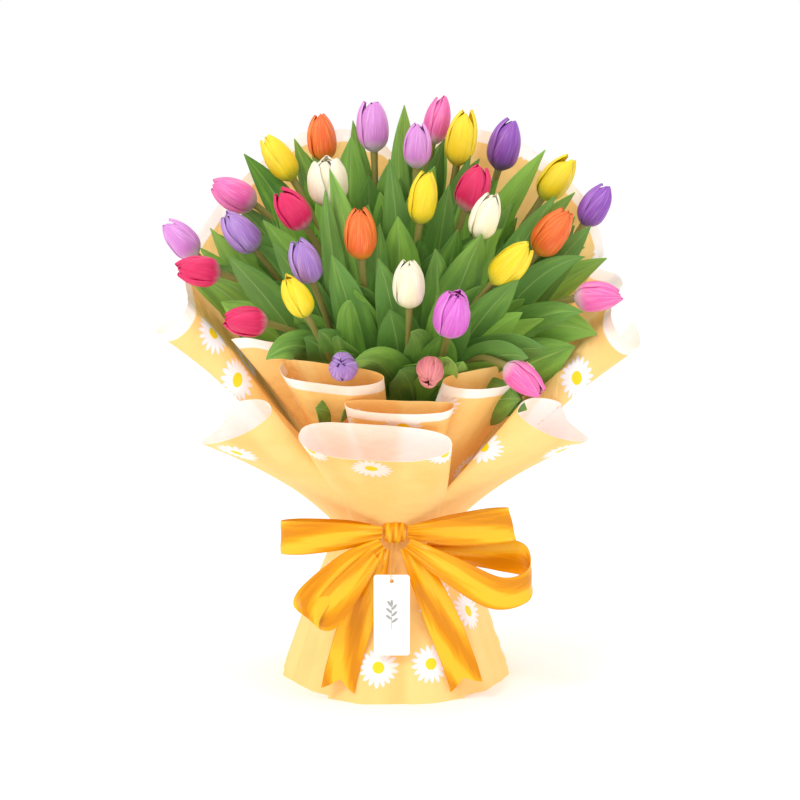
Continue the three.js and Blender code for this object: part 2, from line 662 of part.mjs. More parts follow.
// The sheet with its roll, over a unit square; share is how much of the square the roll takes.
function rolledSheet(sheet, share, lowest) {
  const toV = (w) => THREE.MathUtils.lerp(lowest, 1, w);
  if (!sheet.roll) return (u, w) => sheetPoint(sheet, u, toV(w));
  const { edge, width, turn } = sheet.roll;
  if (edge === "rim") {
    return (u, w) => {
      if (w <= 1 - share) return sheetPoint(sheet, u, toV(w / (1 - share)));
      const { here, away, outward } = edgeFrame(sheet, u, 1, true);
      const distance = ((w - 1 + share) / share) * width[1];
      return rolledPoint(here, away, outward, distance, width[1], radians(turn));
    };
  }
  return (u, w) => {
    const v = toV(w);
    if (u >= share) return sheetPoint(sheet, (u - share) / (1 - share), v);
    const { here, away, outward } = edgeFrame(sheet, 0, v, false);
    const rise = THREE.MathUtils.clamp(v, 0, 1);
    const stripWidth = THREE.MathUtils.lerp(...width, Math.pow(rise, 1.3));
    const stripTurn = radians(turn) * THREE.MathUtils.smoothstep(rise, 0, ROLL_START);
    return rolledPoint(here, away, outward, (1 - u / share) * stripWidth, stripWidth, stripTurn);
  };
}

function paperSheet(sheet, thickness) {
  const rows = sheet.floor ? 8 : 5;
  const columns = Math.abs(sheet.waist[1] - sheet.waist[0]) > 90 ? 8 : 5;
  const lowest = sheet.floor ? -1 : -NECK_SHARE;
  const rollCells = sheet.roll ? 5 : 0;
  const rimRoll = sheet.roll?.edge === "rim";
  const allColumns = columns + (rimRoll ? 0 : rollCells);
  const allRows = rows + (rimRoll ? rollCells : 0);
  const share = rollCells / (rimRoll ? allRows : allColumns);
  return cutAtFloor(slab(rolledSheet(sheet, share, lowest), allColumns, allRows, thickness));
}

// ---------------------------------------------------------------- ribbon, tag and twine

// A strip of ribbon about a middle line; a station is [x, y, z, turn, share], and notch is the
// share of the length that the cut at its end takes.
function ribbon(stations, cells, notch) {
  const surface = (u, v) => {
    const [x, y, z, turn, share] = between(stations, v * (1 - notch * (1 - Math.abs(2 * u - 1))));
    const across = new THREE.Vector3(-Math.sin(radians(turn)), 0, Math.cos(radians(turn)));
    return new THREE.Vector3(x, y, z).addScaledVector(across, (u - 0.5) * RIBBON_WIDTH * share);
  };
  return slab(surface, notch ? 2 : 1, cells, RIBBON_THICKNESS);
}

function loop(stations) {
  return ribbon(stations.map((station) => [...fromKnot(station).toArray(), ...station.slice(3)]), 12, 0);
}

// A tail hangs with its width across, so its stations' turn is counted from level.
function tail({ knotEnd, hanging }) {
  const level = (place) => (station) => [...place(station).toArray(), station[3] + 90, station[4]];
  const stations = [...knotEnd.map(level(fromKnot)), ...hanging.map(level(beforeSkirt))];
  const line = new THREE.CatmullRomCurve3(stations.map(([x, y, z]) => new THREE.Vector3(x, y, z)));
  return ribbon(stations, 10, TAIL_NOTCH / line.getLength());
}

function waistBand() {
  const half = BAND_HEIGHT / 2;
  const outer = bandReach + RIBBON_THICKNESS;
  return ringAtWaist([[bandReach, -half], [outer, -half], [outer, half], [bandReach, half]]);
}

function knot() {
  const ball = new THREE.SphereGeometry(0.5, 10, 6).scale(...KNOT_SIZE);
  return solidOf(ball.translate(...knotCentre.toArray()));
}

function tag() {
  const { width, height, thickness, corner } = TAG_SIZE;
  const [x, y] = [width / 2, height / 2];
  const outline = new THREE.Shape();
  outline.absarc(x - corner, y - corner, corner, 0, Math.PI / 2, false);
  outline.absarc(corner - x, y - corner, corner, Math.PI / 2, Math.PI, false);
  outline.absarc(corner - x, corner - y, corner, Math.PI, Math.PI * 1.5, false);
  outline.absarc(x - corner, corner - y, corner, Math.PI * 1.5, Math.PI * 2, false);
  const hole = new THREE.Path();
  hole.absarc(0, y - TAG_HOLE_INSET, TAG_HOLE_DIAMETER / 2, 0, Math.PI * 2, true);
  outline.holes.push(hole);
  const options = { depth: thickness, bevelEnabled: false, curveSegments: 4 };
  const plate = new THREE.ExtrudeGeometry(outline, options);
  plate.translate(0, 0, -thickness / 2).rotateX(Math.PI / 2);
  return solidOf(plate.translate(...tagPoint(0, 0, 0).toArray()));
}

// A point measured from the middle of the tag.
function tagPoint(x, forward, rise) {
  const lowerEdge = beforeSkirt([TAG_PLACE.x, TAG_PLACE.gap, TAG_PLACE.rise - TAG_SIZE.height / 2]);
  return new THREE.Vector3(lowerEdge.x + x, lowerEdge.y - forward, TIE_HEIGHT + TAG_PLACE.rise + rise);
}

function tagString() {
  const { down, hole, up } = STRING_ROUTE;
  const holeRise = TAG_SIZE.height / 2 - TAG_HOLE_INSET;
  const atHole = hole.map(([x, forward, rise]) => tagPoint(x, forward, rise + holeRise));
  const points = [...down.map(fromKnot), ...atHole, ...up.map(fromKnot)];
  return tube(new THREE.CatmullRomCurve3(points, false, "centripetal"), 20, STRING_DIAMETER, 8);
}

function twine() {
  const radius = TWINE_DIAMETER / 2;
  const middle = bundleReach + TWINE_GAP + radius;
  const corners = Array.from({ length: 5 }, (_, k) => radians(72 * k));
  return ringAtWaist(corners.map((angle) => [middle + radius * Math.cos(angle), radius * Math.sin(angle)]));
}

// ---------------------------------------------------------------- the whole bunch

const sheetsWithGap = SHEETS.map((sheet) => paperSheet(sheet, PAPER_THICKNESS + TOUCH_GAP * 2));
const paper = { colour: PAPER_COLOUR, roughness: 0.8 };
const satin = { colour: RIBBON_COLOUR, roughness: 0.35 };
const pieces = [
  ...tulips(sheetsWithGap),
  ...SHEETS.map((sheet) => ({ name: sheet.name, solid: paperSheet(sheet, PAPER_THICKNESS), ...paper })),
  { name: "binding_twine", solid: twine(), colour: TWINE_COLOUR, roughness: 0.9 },
  { name: "ribbon_band", solid: waistBand(), ...satin },
  { name: "bow_knot", solid: knot(), ...satin },
  ...Object.entries(LOOPS).map(([name, stations]) => ({ name, solid: loop(stations), ...satin })),
  ...Object.entries(TAILS).map(([name, stations]) => ({ name, solid: tail(stations), ...satin })),
  { name: "tag", solid: tag(), colour: TAG_COLOUR, roughness: 0.6 },
  { name: "tag_string", solid: tagString(), colour: RIBBON_COLOUR, roughness: 0.5 },
];

const bunch = new THREE.Group();
for (const { name, solid, colour, roughness } of pieces) {
  const material = new THREE.MeshStandardMaterial({ color: colour, roughness, metalness: 0 });
  const mesh = new THREE.Mesh(geometryOf(solid), material);
  mesh.name = name;
  bunch.add(mesh);
}

export default bunch;
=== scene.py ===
"""A hand-tied bunch of thirty tulips in printed paper with a satin bow, built on its CAD frame.

Millimetres are used throughout, and a mesh is scaled to metres as it is made. +Z is up and the
front faces -Y. A bearing is in degrees round Z from the front and grows towards +X, a reach is a
distance from the Z axis, and a rise is a height above the binding.
"""

import json
import logging
import math
from dataclasses import dataclass, field
from enum import Enum

import bpy
import numpy as np
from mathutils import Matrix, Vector

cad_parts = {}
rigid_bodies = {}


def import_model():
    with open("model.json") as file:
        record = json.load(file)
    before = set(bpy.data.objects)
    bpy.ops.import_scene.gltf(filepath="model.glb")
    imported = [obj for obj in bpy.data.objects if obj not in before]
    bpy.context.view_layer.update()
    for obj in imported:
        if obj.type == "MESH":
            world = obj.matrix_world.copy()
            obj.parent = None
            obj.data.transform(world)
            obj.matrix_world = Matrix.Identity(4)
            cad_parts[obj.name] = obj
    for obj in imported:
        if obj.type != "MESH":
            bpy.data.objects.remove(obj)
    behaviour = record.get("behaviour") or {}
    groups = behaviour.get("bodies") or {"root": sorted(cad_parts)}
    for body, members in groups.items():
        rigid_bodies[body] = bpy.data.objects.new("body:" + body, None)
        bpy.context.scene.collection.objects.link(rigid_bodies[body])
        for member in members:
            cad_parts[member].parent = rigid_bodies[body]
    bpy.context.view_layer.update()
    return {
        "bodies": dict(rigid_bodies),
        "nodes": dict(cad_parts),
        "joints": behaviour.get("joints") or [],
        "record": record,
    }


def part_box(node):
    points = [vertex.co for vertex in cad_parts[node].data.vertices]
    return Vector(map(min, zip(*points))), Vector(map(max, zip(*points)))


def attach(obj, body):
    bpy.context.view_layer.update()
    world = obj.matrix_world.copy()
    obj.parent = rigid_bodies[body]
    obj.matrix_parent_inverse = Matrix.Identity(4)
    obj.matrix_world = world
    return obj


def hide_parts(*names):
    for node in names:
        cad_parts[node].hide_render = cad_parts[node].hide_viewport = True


# Short names for types. Pairs and Triples are tables with rows of two and three numbers.
Array = np.ndarray
Material = bpy.types.Material
Piece = bpy.types.Object
Pairs = tuple[tuple[float, float], ...]
Triples = tuple[tuple[float, float, float], ...]

LOG = logging.getLogger("bunch")
MM = 0.001
BODY = "root"


# ---------------------------------------------------------------- curves and grids


def unit(vectors: Array) -> Array:
    """Scales vectors, which lie along the last axis, to length 1."""
    return vectors / np.maximum(np.linalg.norm(vectors, axis=-1, keepdims=True), 1e-9)


def mix(start: Array, end: Array, share: Array) -> Array:
    """Gives start + (end - start) * share."""
    return start + (end - start) * share


def smooth(low: float, high: float, value: Array) -> Array:
    """Eases from 0 at low to 1 at high: 3t^2 - 2t^3, with t the share of the way."""
    t = np.clip((value - low) / (high - low), 0, 1)
    return t * t * (3 - 2 * t)


def polar(bearing: Array, reach: Array, height: Array) -> Array:
    """Gives (reach sin b, -reach cos b, height) for a bearing b."""
    b = np.radians(bearing)
    return np.stack(np.broadcast_arrays(reach * np.sin(b), -reach * np.cos(b), height), axis=-1)


def between(rows: Array, t: Array) -> Array:
    """Reads a smooth line through evenly spaced rows of numbers, a uniform Catmull-Rom spline.

    Args:
        rows: one row of numbers for each point of the line.
        t: shares of the way along it, from 0 to 1.

    Returns:
        The interpolated rows, with the shape of t and one more axis.
    """
    rows = np.asarray(rows, dtype=float)
    place = np.clip(t, 0, 1) * (len(rows) - 1)
    index = np.minimum(np.floor(place).astype(int), len(rows) - 2)
    part = (place - index)[..., None]
    a, b, c, d = (rows[np.clip(index + k, 0, len(rows) - 1)] for k in (-1, 0, 1, 2))
    bend = 2 * a - 5 * b + 4 * c - d + part * (3 * (b - c) + d - a)
    return b + 0.5 * part * (c - a + part * bend)


def profile(pairs: Pairs, t: Array) -> Array:
    """Reads a table of (share, value) with its corners rounded.

    Args:
        pairs: the table, in rising order of share.
        t: the shares to read it at.

    Returns:
        The mean of the straight-line table at five places about each share.
    """
    shares, values = np.array(pairs).T
    offsets = (-0.05, -0.025, 0.0, 0.025, 0.05)
    ends = np.minimum(np.minimum(t, 1 - t) / 0.05, 1)
    return sum(np.interp(t + ends * offset, shares, values) for offset in offsets) / len(offsets)


def arc_lengths(grid: Array, axis: int) -> Array:
    """Sums the distances between neighbouring points of a grid along an axis.

    Args:
        grid: rows and columns of points.
        axis: 0 to go down the columns, and 1 to go along the rows.

    Returns:
        The sums, which start at 0.
    """
    steps = np.linalg.norm(np.diff(grid, axis=axis), axis=-1)
    start = np.zeros_like(np.take(steps, [0], axis=axis))
    return np.concatenate([start, np.cumsum(steps, axis=axis)], axis=axis)


def evened(line: Array, count: int) -> Array:
    """Resamples a line so that its points are evenly spaced along it.

    Args:
        line: the points.
        count: how many points the result has.

    Returns:
        The new points.
    """
    along = arc_lengths(line[None], 1)[0]
    even = np.linspace(0, along[-1], count)
    return np.stack([np.interp(even, along, line[:, k]) for k in range(3)], axis=-1)


def grid_normals(grid: Array) -> Array:
    """Gives the unit normals of a grid of points, the cross product of its two gradients."""
    return unit(np.cross(np.gradient(grid, axis=1), np.gradient(grid, axis=0)))


def quads(corners: Array) -> Array:
    """Lists the faces of a grid of vertex numbers, anticlockwise about its normal."""
    return np.stack(
        [corners[:-1, :-1], corners[:-1, 1:], corners[1:, 1:], corners[1:, :-1]], axis=-1
    ).reshape(-1, 4)


@dataclass
class Skin:
    """Gathers the grids of one piece and makes them into one mesh object.

    Attributes:
        name: the piece's name.
        points: blocks of vertices, in millimetres.
        faces: blocks of faces, each an array of vertex numbers.
        values: blocks of numbers that go with the vertices, under each attribute's name.
        flat: blocks of flat coordinates that go with the vertices, in millimetres.
    """

    name: str
    points: list[Array] = field(default_factory=list)
    faces: list[Array] = field(default_factory=list)
    values: dict[str, list[Array]] = field(default_factory=dict)
    flat: list[Array] = field(default_factory=list)

    def _store(self, points: Array, flat: Array, values: dict[str, Array]) -> int:
        """Stores one block of vertices with its flat coordinates and values.

        Args:
            points: the vertices.
            flat: a pair of flat coordinates for each vertex.
            values: one number for each vertex, or one for the whole block.

        Returns:
            The number of the block's first vertex.
        """
        first = sum(len(block) for block in self.points)
        self.points.append(points)
        self.flat.append(flat)
        for name, value in values.items():
            self.values.setdefault(name, []).append(np.broadcast_to(value, len(points)).ravel())
        return first

    def shell(
        self,
        grid: Array,
        thickness: float,
        flat: Array,
        closed: bool = False,
        **values: Array,
    ) -> None:
        """Adds a thin closed shell: the grid moved by half its thickness to each side, and a rim.

        Args:
            grid: rows and columns of points.
            thickness: from face to face.
            flat: a pair of flat coordinates for each point.
            closed: whether the last column joins the first.
            **values: a number for each point, by attribute name.
        """
        rows, columns = grid.shape[:2]
        normals = grid_normals(grid) * thickness / 2
        if closed:
            ring = np.concatenate([grid[:, -1:], grid, grid[:, :1]], axis=1)
            normals = grid_normals(ring)[:, 1:-1] * thickness / 2
        points = np.concatenate([(grid + normals).reshape(-1, 3), (grid - normals).reshape(-1, 3)])
        count = rows * columns
        spread = {name: np.broadcast_to(v, (rows, columns)) for name, v in values.items()}
        both = {name: np.tile(v.ravel(), 2) for name, v in spread.items()}
        both["side"] = np.repeat([0.0, 1.0], count)
        first = self._store(points, np.tile(flat.reshape(-1, 2), (2, 1)), both)
        front = first + np.arange(count).reshape(rows, columns)
        if closed:
            front = np.concatenate([front, front[:, :1]], axis=1)
        back = front + count
        edges = [(front[0], back[0]), (front[-1, ::-1], back[-1, ::-1])]
        if not closed:
            edges += [(front[::-1, 0], back[::-1, 0]), (front[:, -1], back[:, -1])]
        rims = [np.stack([f[1:], f[:-1], b[:-1], b[1:]], axis=-1) for f, b in edges]
        self.faces += [quads(front), quads(back)[:, ::-1], *rims]

    def tube(self, rings: Array, flat: Array, **values: Array) -> None:
        """Adds a closed tube: rings of points that share a seam, with a fan over each end.

        Args:
            rings: rows of points, each anticlockwise about the tube's way.
            flat: a pair of flat coordinates for each point.
            **values: a number for each point, by attribute name.
        """
        rows, sides = rings.shape[:2]
        ends = np.stack([rings[0].mean(axis=0), rings[-1].mean(axis=0)])
        points = np.concatenate([rings.reshape(-1, 3), ends])
        all_flat = np.concatenate([flat.reshape(-1, 2), flat[[0, -1], 0]])
        spread = {name: np.broadcast_to(v, (rows, sides)) for name, v in values.items()}
        ended = {name: np.concatenate([v.ravel(), v[[0, -1], 0]]) for name, v in spread.items()}
        first = self._store(points, all_flat, ended)
        ring = first + np.arange(rows * sides).reshape(rows, sides)
        ring = np.concatenate([ring, ring[:, :1]], axis=1)
        low, high = first + rows * sides, first + rows * sides + 1
        caps = [
            np.stack([ring[0, 1:], ring[0, :-1], np.full(sides, low)], axis=-1),
            np.stack([ring[-1, :-1], ring[-1, 1:], np.full(sides, high)], axis=-1),
        ]
        self.faces += [quads(ring), *caps]

    def torus(self, grid: Array, flat: Array) -> None:
        """Adds a closed ring: a grid whose last row and last column join its first ones.

        Args:
            grid: rows and columns of points.
            flat: a pair of flat coordinates for each point.
        """
        rows, columns = grid.shape[:2]
        first = self._store(grid.reshape(-1, 3), flat.reshape(-1, 2), {})
        corners = first + np.arange(rows * columns).reshape(rows, columns)
        corners = np.concatenate([corners, corners[:1]])
        self.faces.append(quads(np.concatenate([corners, corners[:, :1]], axis=1)))

    def make(self, material: Material, node: str, slot: str, sharp: float = 50) -> Piece:
        """Makes the mesh object, hangs it on the frame's body and hides the CAD node that it replaces.

        Args:
            material: the piece's finish.
            node: the CAD node that it replaces.
            slot: the record's slot that its finish goes with; not used.
            sharp: the angle in degrees over which an edge is shown sharp.

        Returns:
            The new object.
        """
        points = np.concatenate(self.points) * MM
        points[:, 2] = np.maximum(points[:, 2], 0)
        loops = np.concatenate([block.ravel() for block in self.faces])
        sizes = np.concatenate([np.full(len(block), block.shape[1]) for block in self.faces])
        mesh = bpy.data.meshes.new(self.name)
        mesh.vertices.add(len(points))
        mesh.vertices.foreach_set("co", points.ravel())
        mesh.loops.add(len(loops))
        mesh.loops.foreach_set("vertex_index", loops)
        mesh.polygons.add(len(sizes))
        mesh.polygons.foreach_set("loop_start", np.cumsum(sizes) - sizes)
        mesh.update(calc_edges=True)
        layer = mesh.uv_layers.new(name="flat")
        layer.data.foreach_set("uv", np.concatenate(self.flat)[loops].ravel())
        for name, blocks in self.values.items():
            attribute = mesh.attributes.new(name, "FLOAT", "POINT")
            attribute.data.foreach_set("value", np.concatenate(blocks).astype(np.float32))
        mesh.polygons.foreach_set("use_smooth", np.ones(len(sizes), dtype=bool))
        mesh.set_sharp_from_angle(angle=math.radians(sharp))
        mesh.validate()
        mesh.materials.append(material)
        piece = bpy.data.objects.new(self.name, mesh)
        bpy.context.scene.collection.objects.link(piece)
        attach(piece, BODY)
        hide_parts(node)
        return piece


def tube_rings(line: Array, radius: Array, sides: int) -> Array:
    """Puts rings of points about a line, on frames that turn as little as they can.

    Args:
        line: the tube's middle line.
        radius: one radius, or one for each point and side.
        sides: points in a ring.

    Returns:
        The rings, centre + radius * (cos a * e1 + sin a * e2).
    """
    way = unit(np.gradient(line, axis=0))
    first = np.empty_like(way)
    helper = np.array([0.0, 0.0, 1.0]) if abs(way[0, 2]) < 0.8 else np.array([1.0, 0.0, 0.0])
    first[0] = unit(np.cross(way[0], helper))
    for k in range(1, len(way)):
        first[k] = unit(first[k - 1] - way[k] * (first[k - 1] @ way[k]))
    second = np.cross(way, first)
    angle = np.linspace(0, 2 * np.pi, sides, endpoint=False)[None, :, None]
    away = np.cos(angle) * first[:, None] + np.sin(angle) * second[:, None]
    size = np.asarray(radius, dtype=float)
    size = size.reshape(-1, 1) if size.ndim == 1 else size
    return line[:, None] + away * np.broadcast_to(size, away.shape[:2])[..., None]


# ---------------------------------------------------------------- node graphs


Value = "Wire | float | tuple[float, ...]"


class Wire:
    """An output socket that takes part in arithmetic."""

    def __init__(self, graph: "Graph", socket: bpy.types.NodeSocket) -> None:
        """Wraps a socket of a graph."""
        self.graph = graph
        self.socket = socket

    def __add__(self, other: Value) -> "Wire":
        """Adds."""
        return self.graph.math("ADD", self, other)

    def __sub__(self, other: Value) -> "Wire":
        """Subtracts other from this."""
        return self.graph.math("SUBTRACT", self, other)

    def __rsub__(self, other: Value) -> "Wire":
        """Subtracts this from other."""
        return self.graph.math("SUBTRACT", other, self)

    def __mul__(self, other: Value) -> "Wire":
        """Multiplies."""
        return self.graph.math("MULTIPLY", self, other)

    def __truediv__(self, other: Value) -> "Wire":
        """Divides this by other."""
        return self.graph.math("DIVIDE", self, other)

    def __rtruediv__(self, other: Value) -> "Wire":
        """Divides other by this."""
        return self.graph.math("DIVIDE", other, self)

    __radd__ = __add__
    __rmul__ = __mul__


def linear(colour: str) -> tuple[float, float, float, float]:
    """Turns a display colour into linear light by the sRGB curve.

    Args:
        colour: the colour as #rrggbb.

    Returns:
        Red, green and blue, and an alpha of 1.
    """
    parts = [int(colour[k : k + 2], 16) / 255 for k in (1, 3, 5)]
    light = [p / 12.92 if p <= 0.04045 else ((p + 0.055) / 1.055) ** 2.4 for p in parts]
    return (light[0], light[1], light[2], 1.0)


class Graph:
    """Builds one material's node tree."""

    def __init__(self, name: str) -> None:
        """Starts an empty material.

        Args:
            name: the material's name.
        """
        self.material = bpy.data.materials.new(name)
        self.material.use_nodes = True
        self.tree = self.material.node_tree
        self.tree.nodes.clear()

    def node(self, kind: str, settings: dict[str, object], inputs: dict[object, Value]) -> bpy.types.Node:
        """Makes a node.

        Args:
            kind: the node's type.
            settings: its properties.
            inputs: for each input, by name or number, a Wire to link or a value to set.

        Returns:
            The node.
        """
        made = self.tree.nodes.new(kind)
        for name, value in settings.items():
            setattr(made, name, value)
        for name, value in inputs.items():
            if isinstance(value, Wire):
                self.tree.links.new(value.socket, made.inputs[name])
            else:
                made.inputs[name].default_value = value
        return made

    def math(self, operation: str, *terms: Value) -> Wire:
        """Works out a number from one, two or three terms."""
        made = self.node("ShaderNodeMath", {"operation": operation}, dict(enumerate(terms)))
        return Wire(self, made.outputs[0])

    def vector(self, operation: str, *terms: Value) -> Wire:
        """Works out a vector from one or two terms."""
        made = self.node("ShaderNodeVectorMath", {"operation": operation}, dict(enumerate(terms)))
        return Wire(self, made.outputs[0])

    def scaled(self, vector: Wire, factor: Value) -> Wire:
        """Multiplies a vector by a number."""
        made = self.node("ShaderNodeVectorMath", {"operation": "SCALE"}, {"Vector": vector, "Scale": factor})
        return Wire(self, made.outputs[0])

    def combine(self, x: Value, y: Value, z: Value) -> Wire:
        """Makes a vector from three numbers."""
        return Wire(self, self.node("ShaderNodeCombineXYZ", {}, {"X": x, "Y": y, "Z": z}).outputs[0])

    def separate(self, vector: Wire) -> tuple[Wire, Wire, Wire]:
        """Takes a vector's three numbers apart."""
        made = self.node("ShaderNodeSeparateXYZ", {}, {"Vector": vector})
        return tuple(Wire(self, made.outputs[k]) for k in range(3))

    def attribute(self, name: str) -> Wire:
        """Reads a number that the mesh carries."""
        return Wire(self, self.node("ShaderNodeAttribute", {"attribute_name": name}, {}).outputs["Fac"])

    def flat(self) -> Wire:
        """Reads the piece's flat coordinates, in millimetres."""
        return Wire(self, self.node("ShaderNodeUVMap", {"uv_map": "flat"}, {}).outputs[0])

    def place(self) -> Wire:
        """Reads the place on the object, in millimetres."""
        made = self.node("ShaderNodeTexCoord", {}, {})
        return self.scaled(Wire(self, made.outputs["Object"]), 1 / MM)

    def noise(self, vector: Wire, scale: float, detail: float = 3, rough: float = 0.5) -> Wire:
        """Reads a soft noise, between 0 and 1."""
        inputs = {"Vector": vector, "Scale": scale, "Detail": detail, "Roughness": rough}
        return Wire(self, self.node("ShaderNodeTexNoise", {}, inputs).outputs[0])

    def chance(self, vector: Wire) -> Wire:
        """Reads a colour of three random numbers that belongs to a vector."""
        return Wire(self, self.node("ShaderNodeTexWhiteNoise", {}, {"Vector": vector}).outputs["Color"])

    def step(self, low: float, high: float, value: Wire) -> Wire:
        """Eases from 0 at low to 1 at high; low may be the larger.

        Args:
            low: the value that gives 0.
            high: the value that gives 1.
            value: the number that is read.

        Returns:
            The eased number.
        """
        up = low < high
        limits = {1: low, 2: high, 3: 0.0, 4: 1.0} if up else {1: high, 2: low, 3: 1.0, 4: 0.0}
        made = self.node("ShaderNodeMapRange", {"interpolation_type": "SMOOTHSTEP"}, {0: value, **limits})
        return Wire(self, made.outputs[0])

    def blend(self, factor: Value, start: Value, end: Value, kind: str = "MIX") -> Wire:
        """Mixes two colours.

        Args:
            factor: how much of the mix shows.
            start: the first colour.
            end: the second colour.
            kind: how they mix.

        Returns:
            The mixed colour.
        """
        settings = {"data_type": "RGBA", "blend_type": kind}
        made = self.node("ShaderNodeMix", settings, {0: factor, 6: start, 7: end})
        return Wire(self, made.outputs[2])

    def bump(self, height: Wire, distance: float) -> Wire:
        """Turns a height between 0 and 1 into a normal; distance is in millimetres."""
        inputs = {"Height": height, "Distance": distance * MM, "Strength": 1.0}
        return Wire(self, self.node("ShaderNodeBump", {}, inputs).outputs[0])

    def surface(self, inputs: dict[str, Value]) -> Material:
        """Ends the graph with one principled surface.

        Args:
            inputs: the surface's inputs by name.

        Returns:
            The finished material.
        """
        shader = self.node("ShaderNodeBsdfPrincipled", {}, inputs)
        self.node("ShaderNodeOutputMaterial", {}, {"Surface": Wire(self, shader.outputs[0])})
        return self.material


# ---------------------------------------------------------------- finishes


@dataclass(frozen=True)
class PetalFinish:
    """Petals: paler and greener at the seat, streaked along their length, lighter at the edges.

    Attributes:
        seat: colour at the seat.
        body: main colour.
        light: colour of the streaks and edges.
        flame: colour of a broad flame up the middle of each petal.
        flame_share: how strong the flame is.
    """

    seat: str
    body: str
    light: str
    flame: str
    flame_share: float = 0.35

    def make(self, name: str) -> Material:
        """Makes the material: noise drawn out along the petal gives streaks and fine ribs.

        Args:
            name: the material's name.

        Returns:
            The material.
        """
        g = Graph(name)
        along, across, seed = g.attribute("along"), g.attribute("across"), g.attribute("seed")
        streaks = g.noise(g.combine(across * 5.0, along * 0.9, seed * 37.0), 2.2, 5, 0.62)
        ribs = g.noise(g.combine(across * 26.0, along * 0.8, seed * 11.0), 1.6, 3, 0.5)
        broad = g.noise(g.combine(across * 1.1, along * 1.6, seed * 71.0), 1.5, 2, 0.5)
        side = g.math("ABSOLUTE", across)
        flame = g.step(0.75, 0.0, side + (streaks - 0.5) * 0.9) * g.step(1.05, 0.2, along)
        colour = g.blend(g.step(0.42, 0.7, streaks) * 0.75, linear(self.body), linear(self.light))
        colour = g.blend(flame * self.flame_share, colour, linear(self.flame))
        edge = g.step(0.62, 1.0, side + (streaks - 0.5) * 0.4) * g.step(0.15, 0.8, along)
        colour = g.blend(edge * 0.6, colour, linear(self.light))
        colour = g.blend(g.step(0.3, 0.02, along + (streaks - 0.5) * 0.3) * 0.85, colour, linear(self.seat))
        shade = g.step(0.15, 0.75, ribs) * 0.1 + g.step(0.2, 0.8, broad) * 0.1 + 0.86
        colour = g.blend(1.0, colour, g.combine(shade, shade, shade), "MULTIPLY")
        height = ribs * 0.7 + streaks * 0.3
        return g.surface({
            "Base Color": colour,
            "Roughness": streaks * 0.16 + 0.34,
            "Subsurface Weight": 0.1,
            "Subsurface Radius": (0.004, 0.002, 0.0015),
            "Normal": g.bump(height, 0.35),
        })


@dataclass(frozen=True)
class LeafFinish:
    """Leaves: parallel veins, a pale bloom and a paler keel.

    Attributes:
        dark: colour of the darkest patches.
        light: colour of the lightest patches.
        bloom: colour of the veins and of the under side.
        pale: colour of the keel and of the base.
    """

    dark: str = "#3b7a17"
    light: str = "#8cc43a"
    bloom: str = "#a9cf70"
    pale: str = "#cbe08a"

    def make(self, name: str) -> Material:
        """Makes the material: fine noise drawn out along the blade gives the veins.

        Args:
            name: the material's name.

        Returns:
            The material.
        """
        g = Graph(name)
        along, across, seed = g.attribute("along"), g.attribute("across"), g.attribute("seed")
        veins = g.noise(g.combine(across * 30.0, along * 1.0, seed * 19.0), 1.4, 3, 0.55)
        patches = g.noise(g.combine(across * 1.5, along * 3.0, seed * 53.0), 1.6, 3, 0.55)
        side = g.math("ABSOLUTE", across)
        tone = g.math("FRACT", seed * 7.31)
        colour = g.blend(g.step(0.3, 0.72, patches * 0.6 + tone * 0.4), linear(self.dark), linear(self.light))
        colour = g.blend(g.step(0.5, 0.8, veins) * 0.35, colour, linear(self.bloom))
        colour = g.blend(g.step(0.06, 0.0, side) * 0.4, colour, linear(self.pale))
        colour = g.blend(g.step(0.22, 0.0, along) * 0.6, colour, linear(self.pale))
        colour = g.blend(g.attribute("side") * 0.22, colour, linear(self.bloom))
        return g.surface({
            "Base Color": colour,
            "Roughness": patches * 0.2 + 0.32,
            "Sheen Weight": 0.1,
            "Normal": g.bump(veins, 0.4),
        })


@dataclass(frozen=True)
class StemFinish:
    """Cut stems: pale at the cut, brownish green above it, with fine grooves.

    Attributes:
        low: colour of the lower part.
        high: colour of the upper part.
        cut: colour of the cut end and of the grooves' edges.
    """

    low: str = "#7c8a44"
    high: str = "#8f8640"
    cut: str = "#c9cf94"

    def make(self, name: str) -> Material:
        """Makes the material: the colour runs up the stem, and noise drawn along it gives grooves.

        Args:
            name: the material's name.

        Returns:
            The material.
        """
        g = Graph(name)
        along, across, seed = g.attribute("along"), g.attribute("across"), g.attribute("seed")
        grooves = g.noise(g.combine(across * 18.0, along * 5.0, seed * 23.0), 1.5, 3, 0.5)
        blotches = g.noise(g.combine(across * 2.0, along * 12.0, seed * 31.0), 1.5, 4, 0.6)
        upper = g.step(0.1, 0.5, along + (blotches - 0.5) * 0.3)
        colour = g.blend(upper, linear(self.low), linear(self.high))
        colour = g.blend(g.step(0.02, 0.0, along), colour, linear(self.cut))
        colour = g.blend(g.step(0.5, 0.8, grooves) * 0.3, colour, linear(self.cut))
        return g.surface({
            "Base Color": colour,
            "Roughness": blotches * 0.2 + 0.36,
            "Normal": g.bump(grooves, 0.3),
        })


class Face(Enum):
    """What a side of a sheet of paper shows."""

    PRINT = "print"
    PALE = "pale"


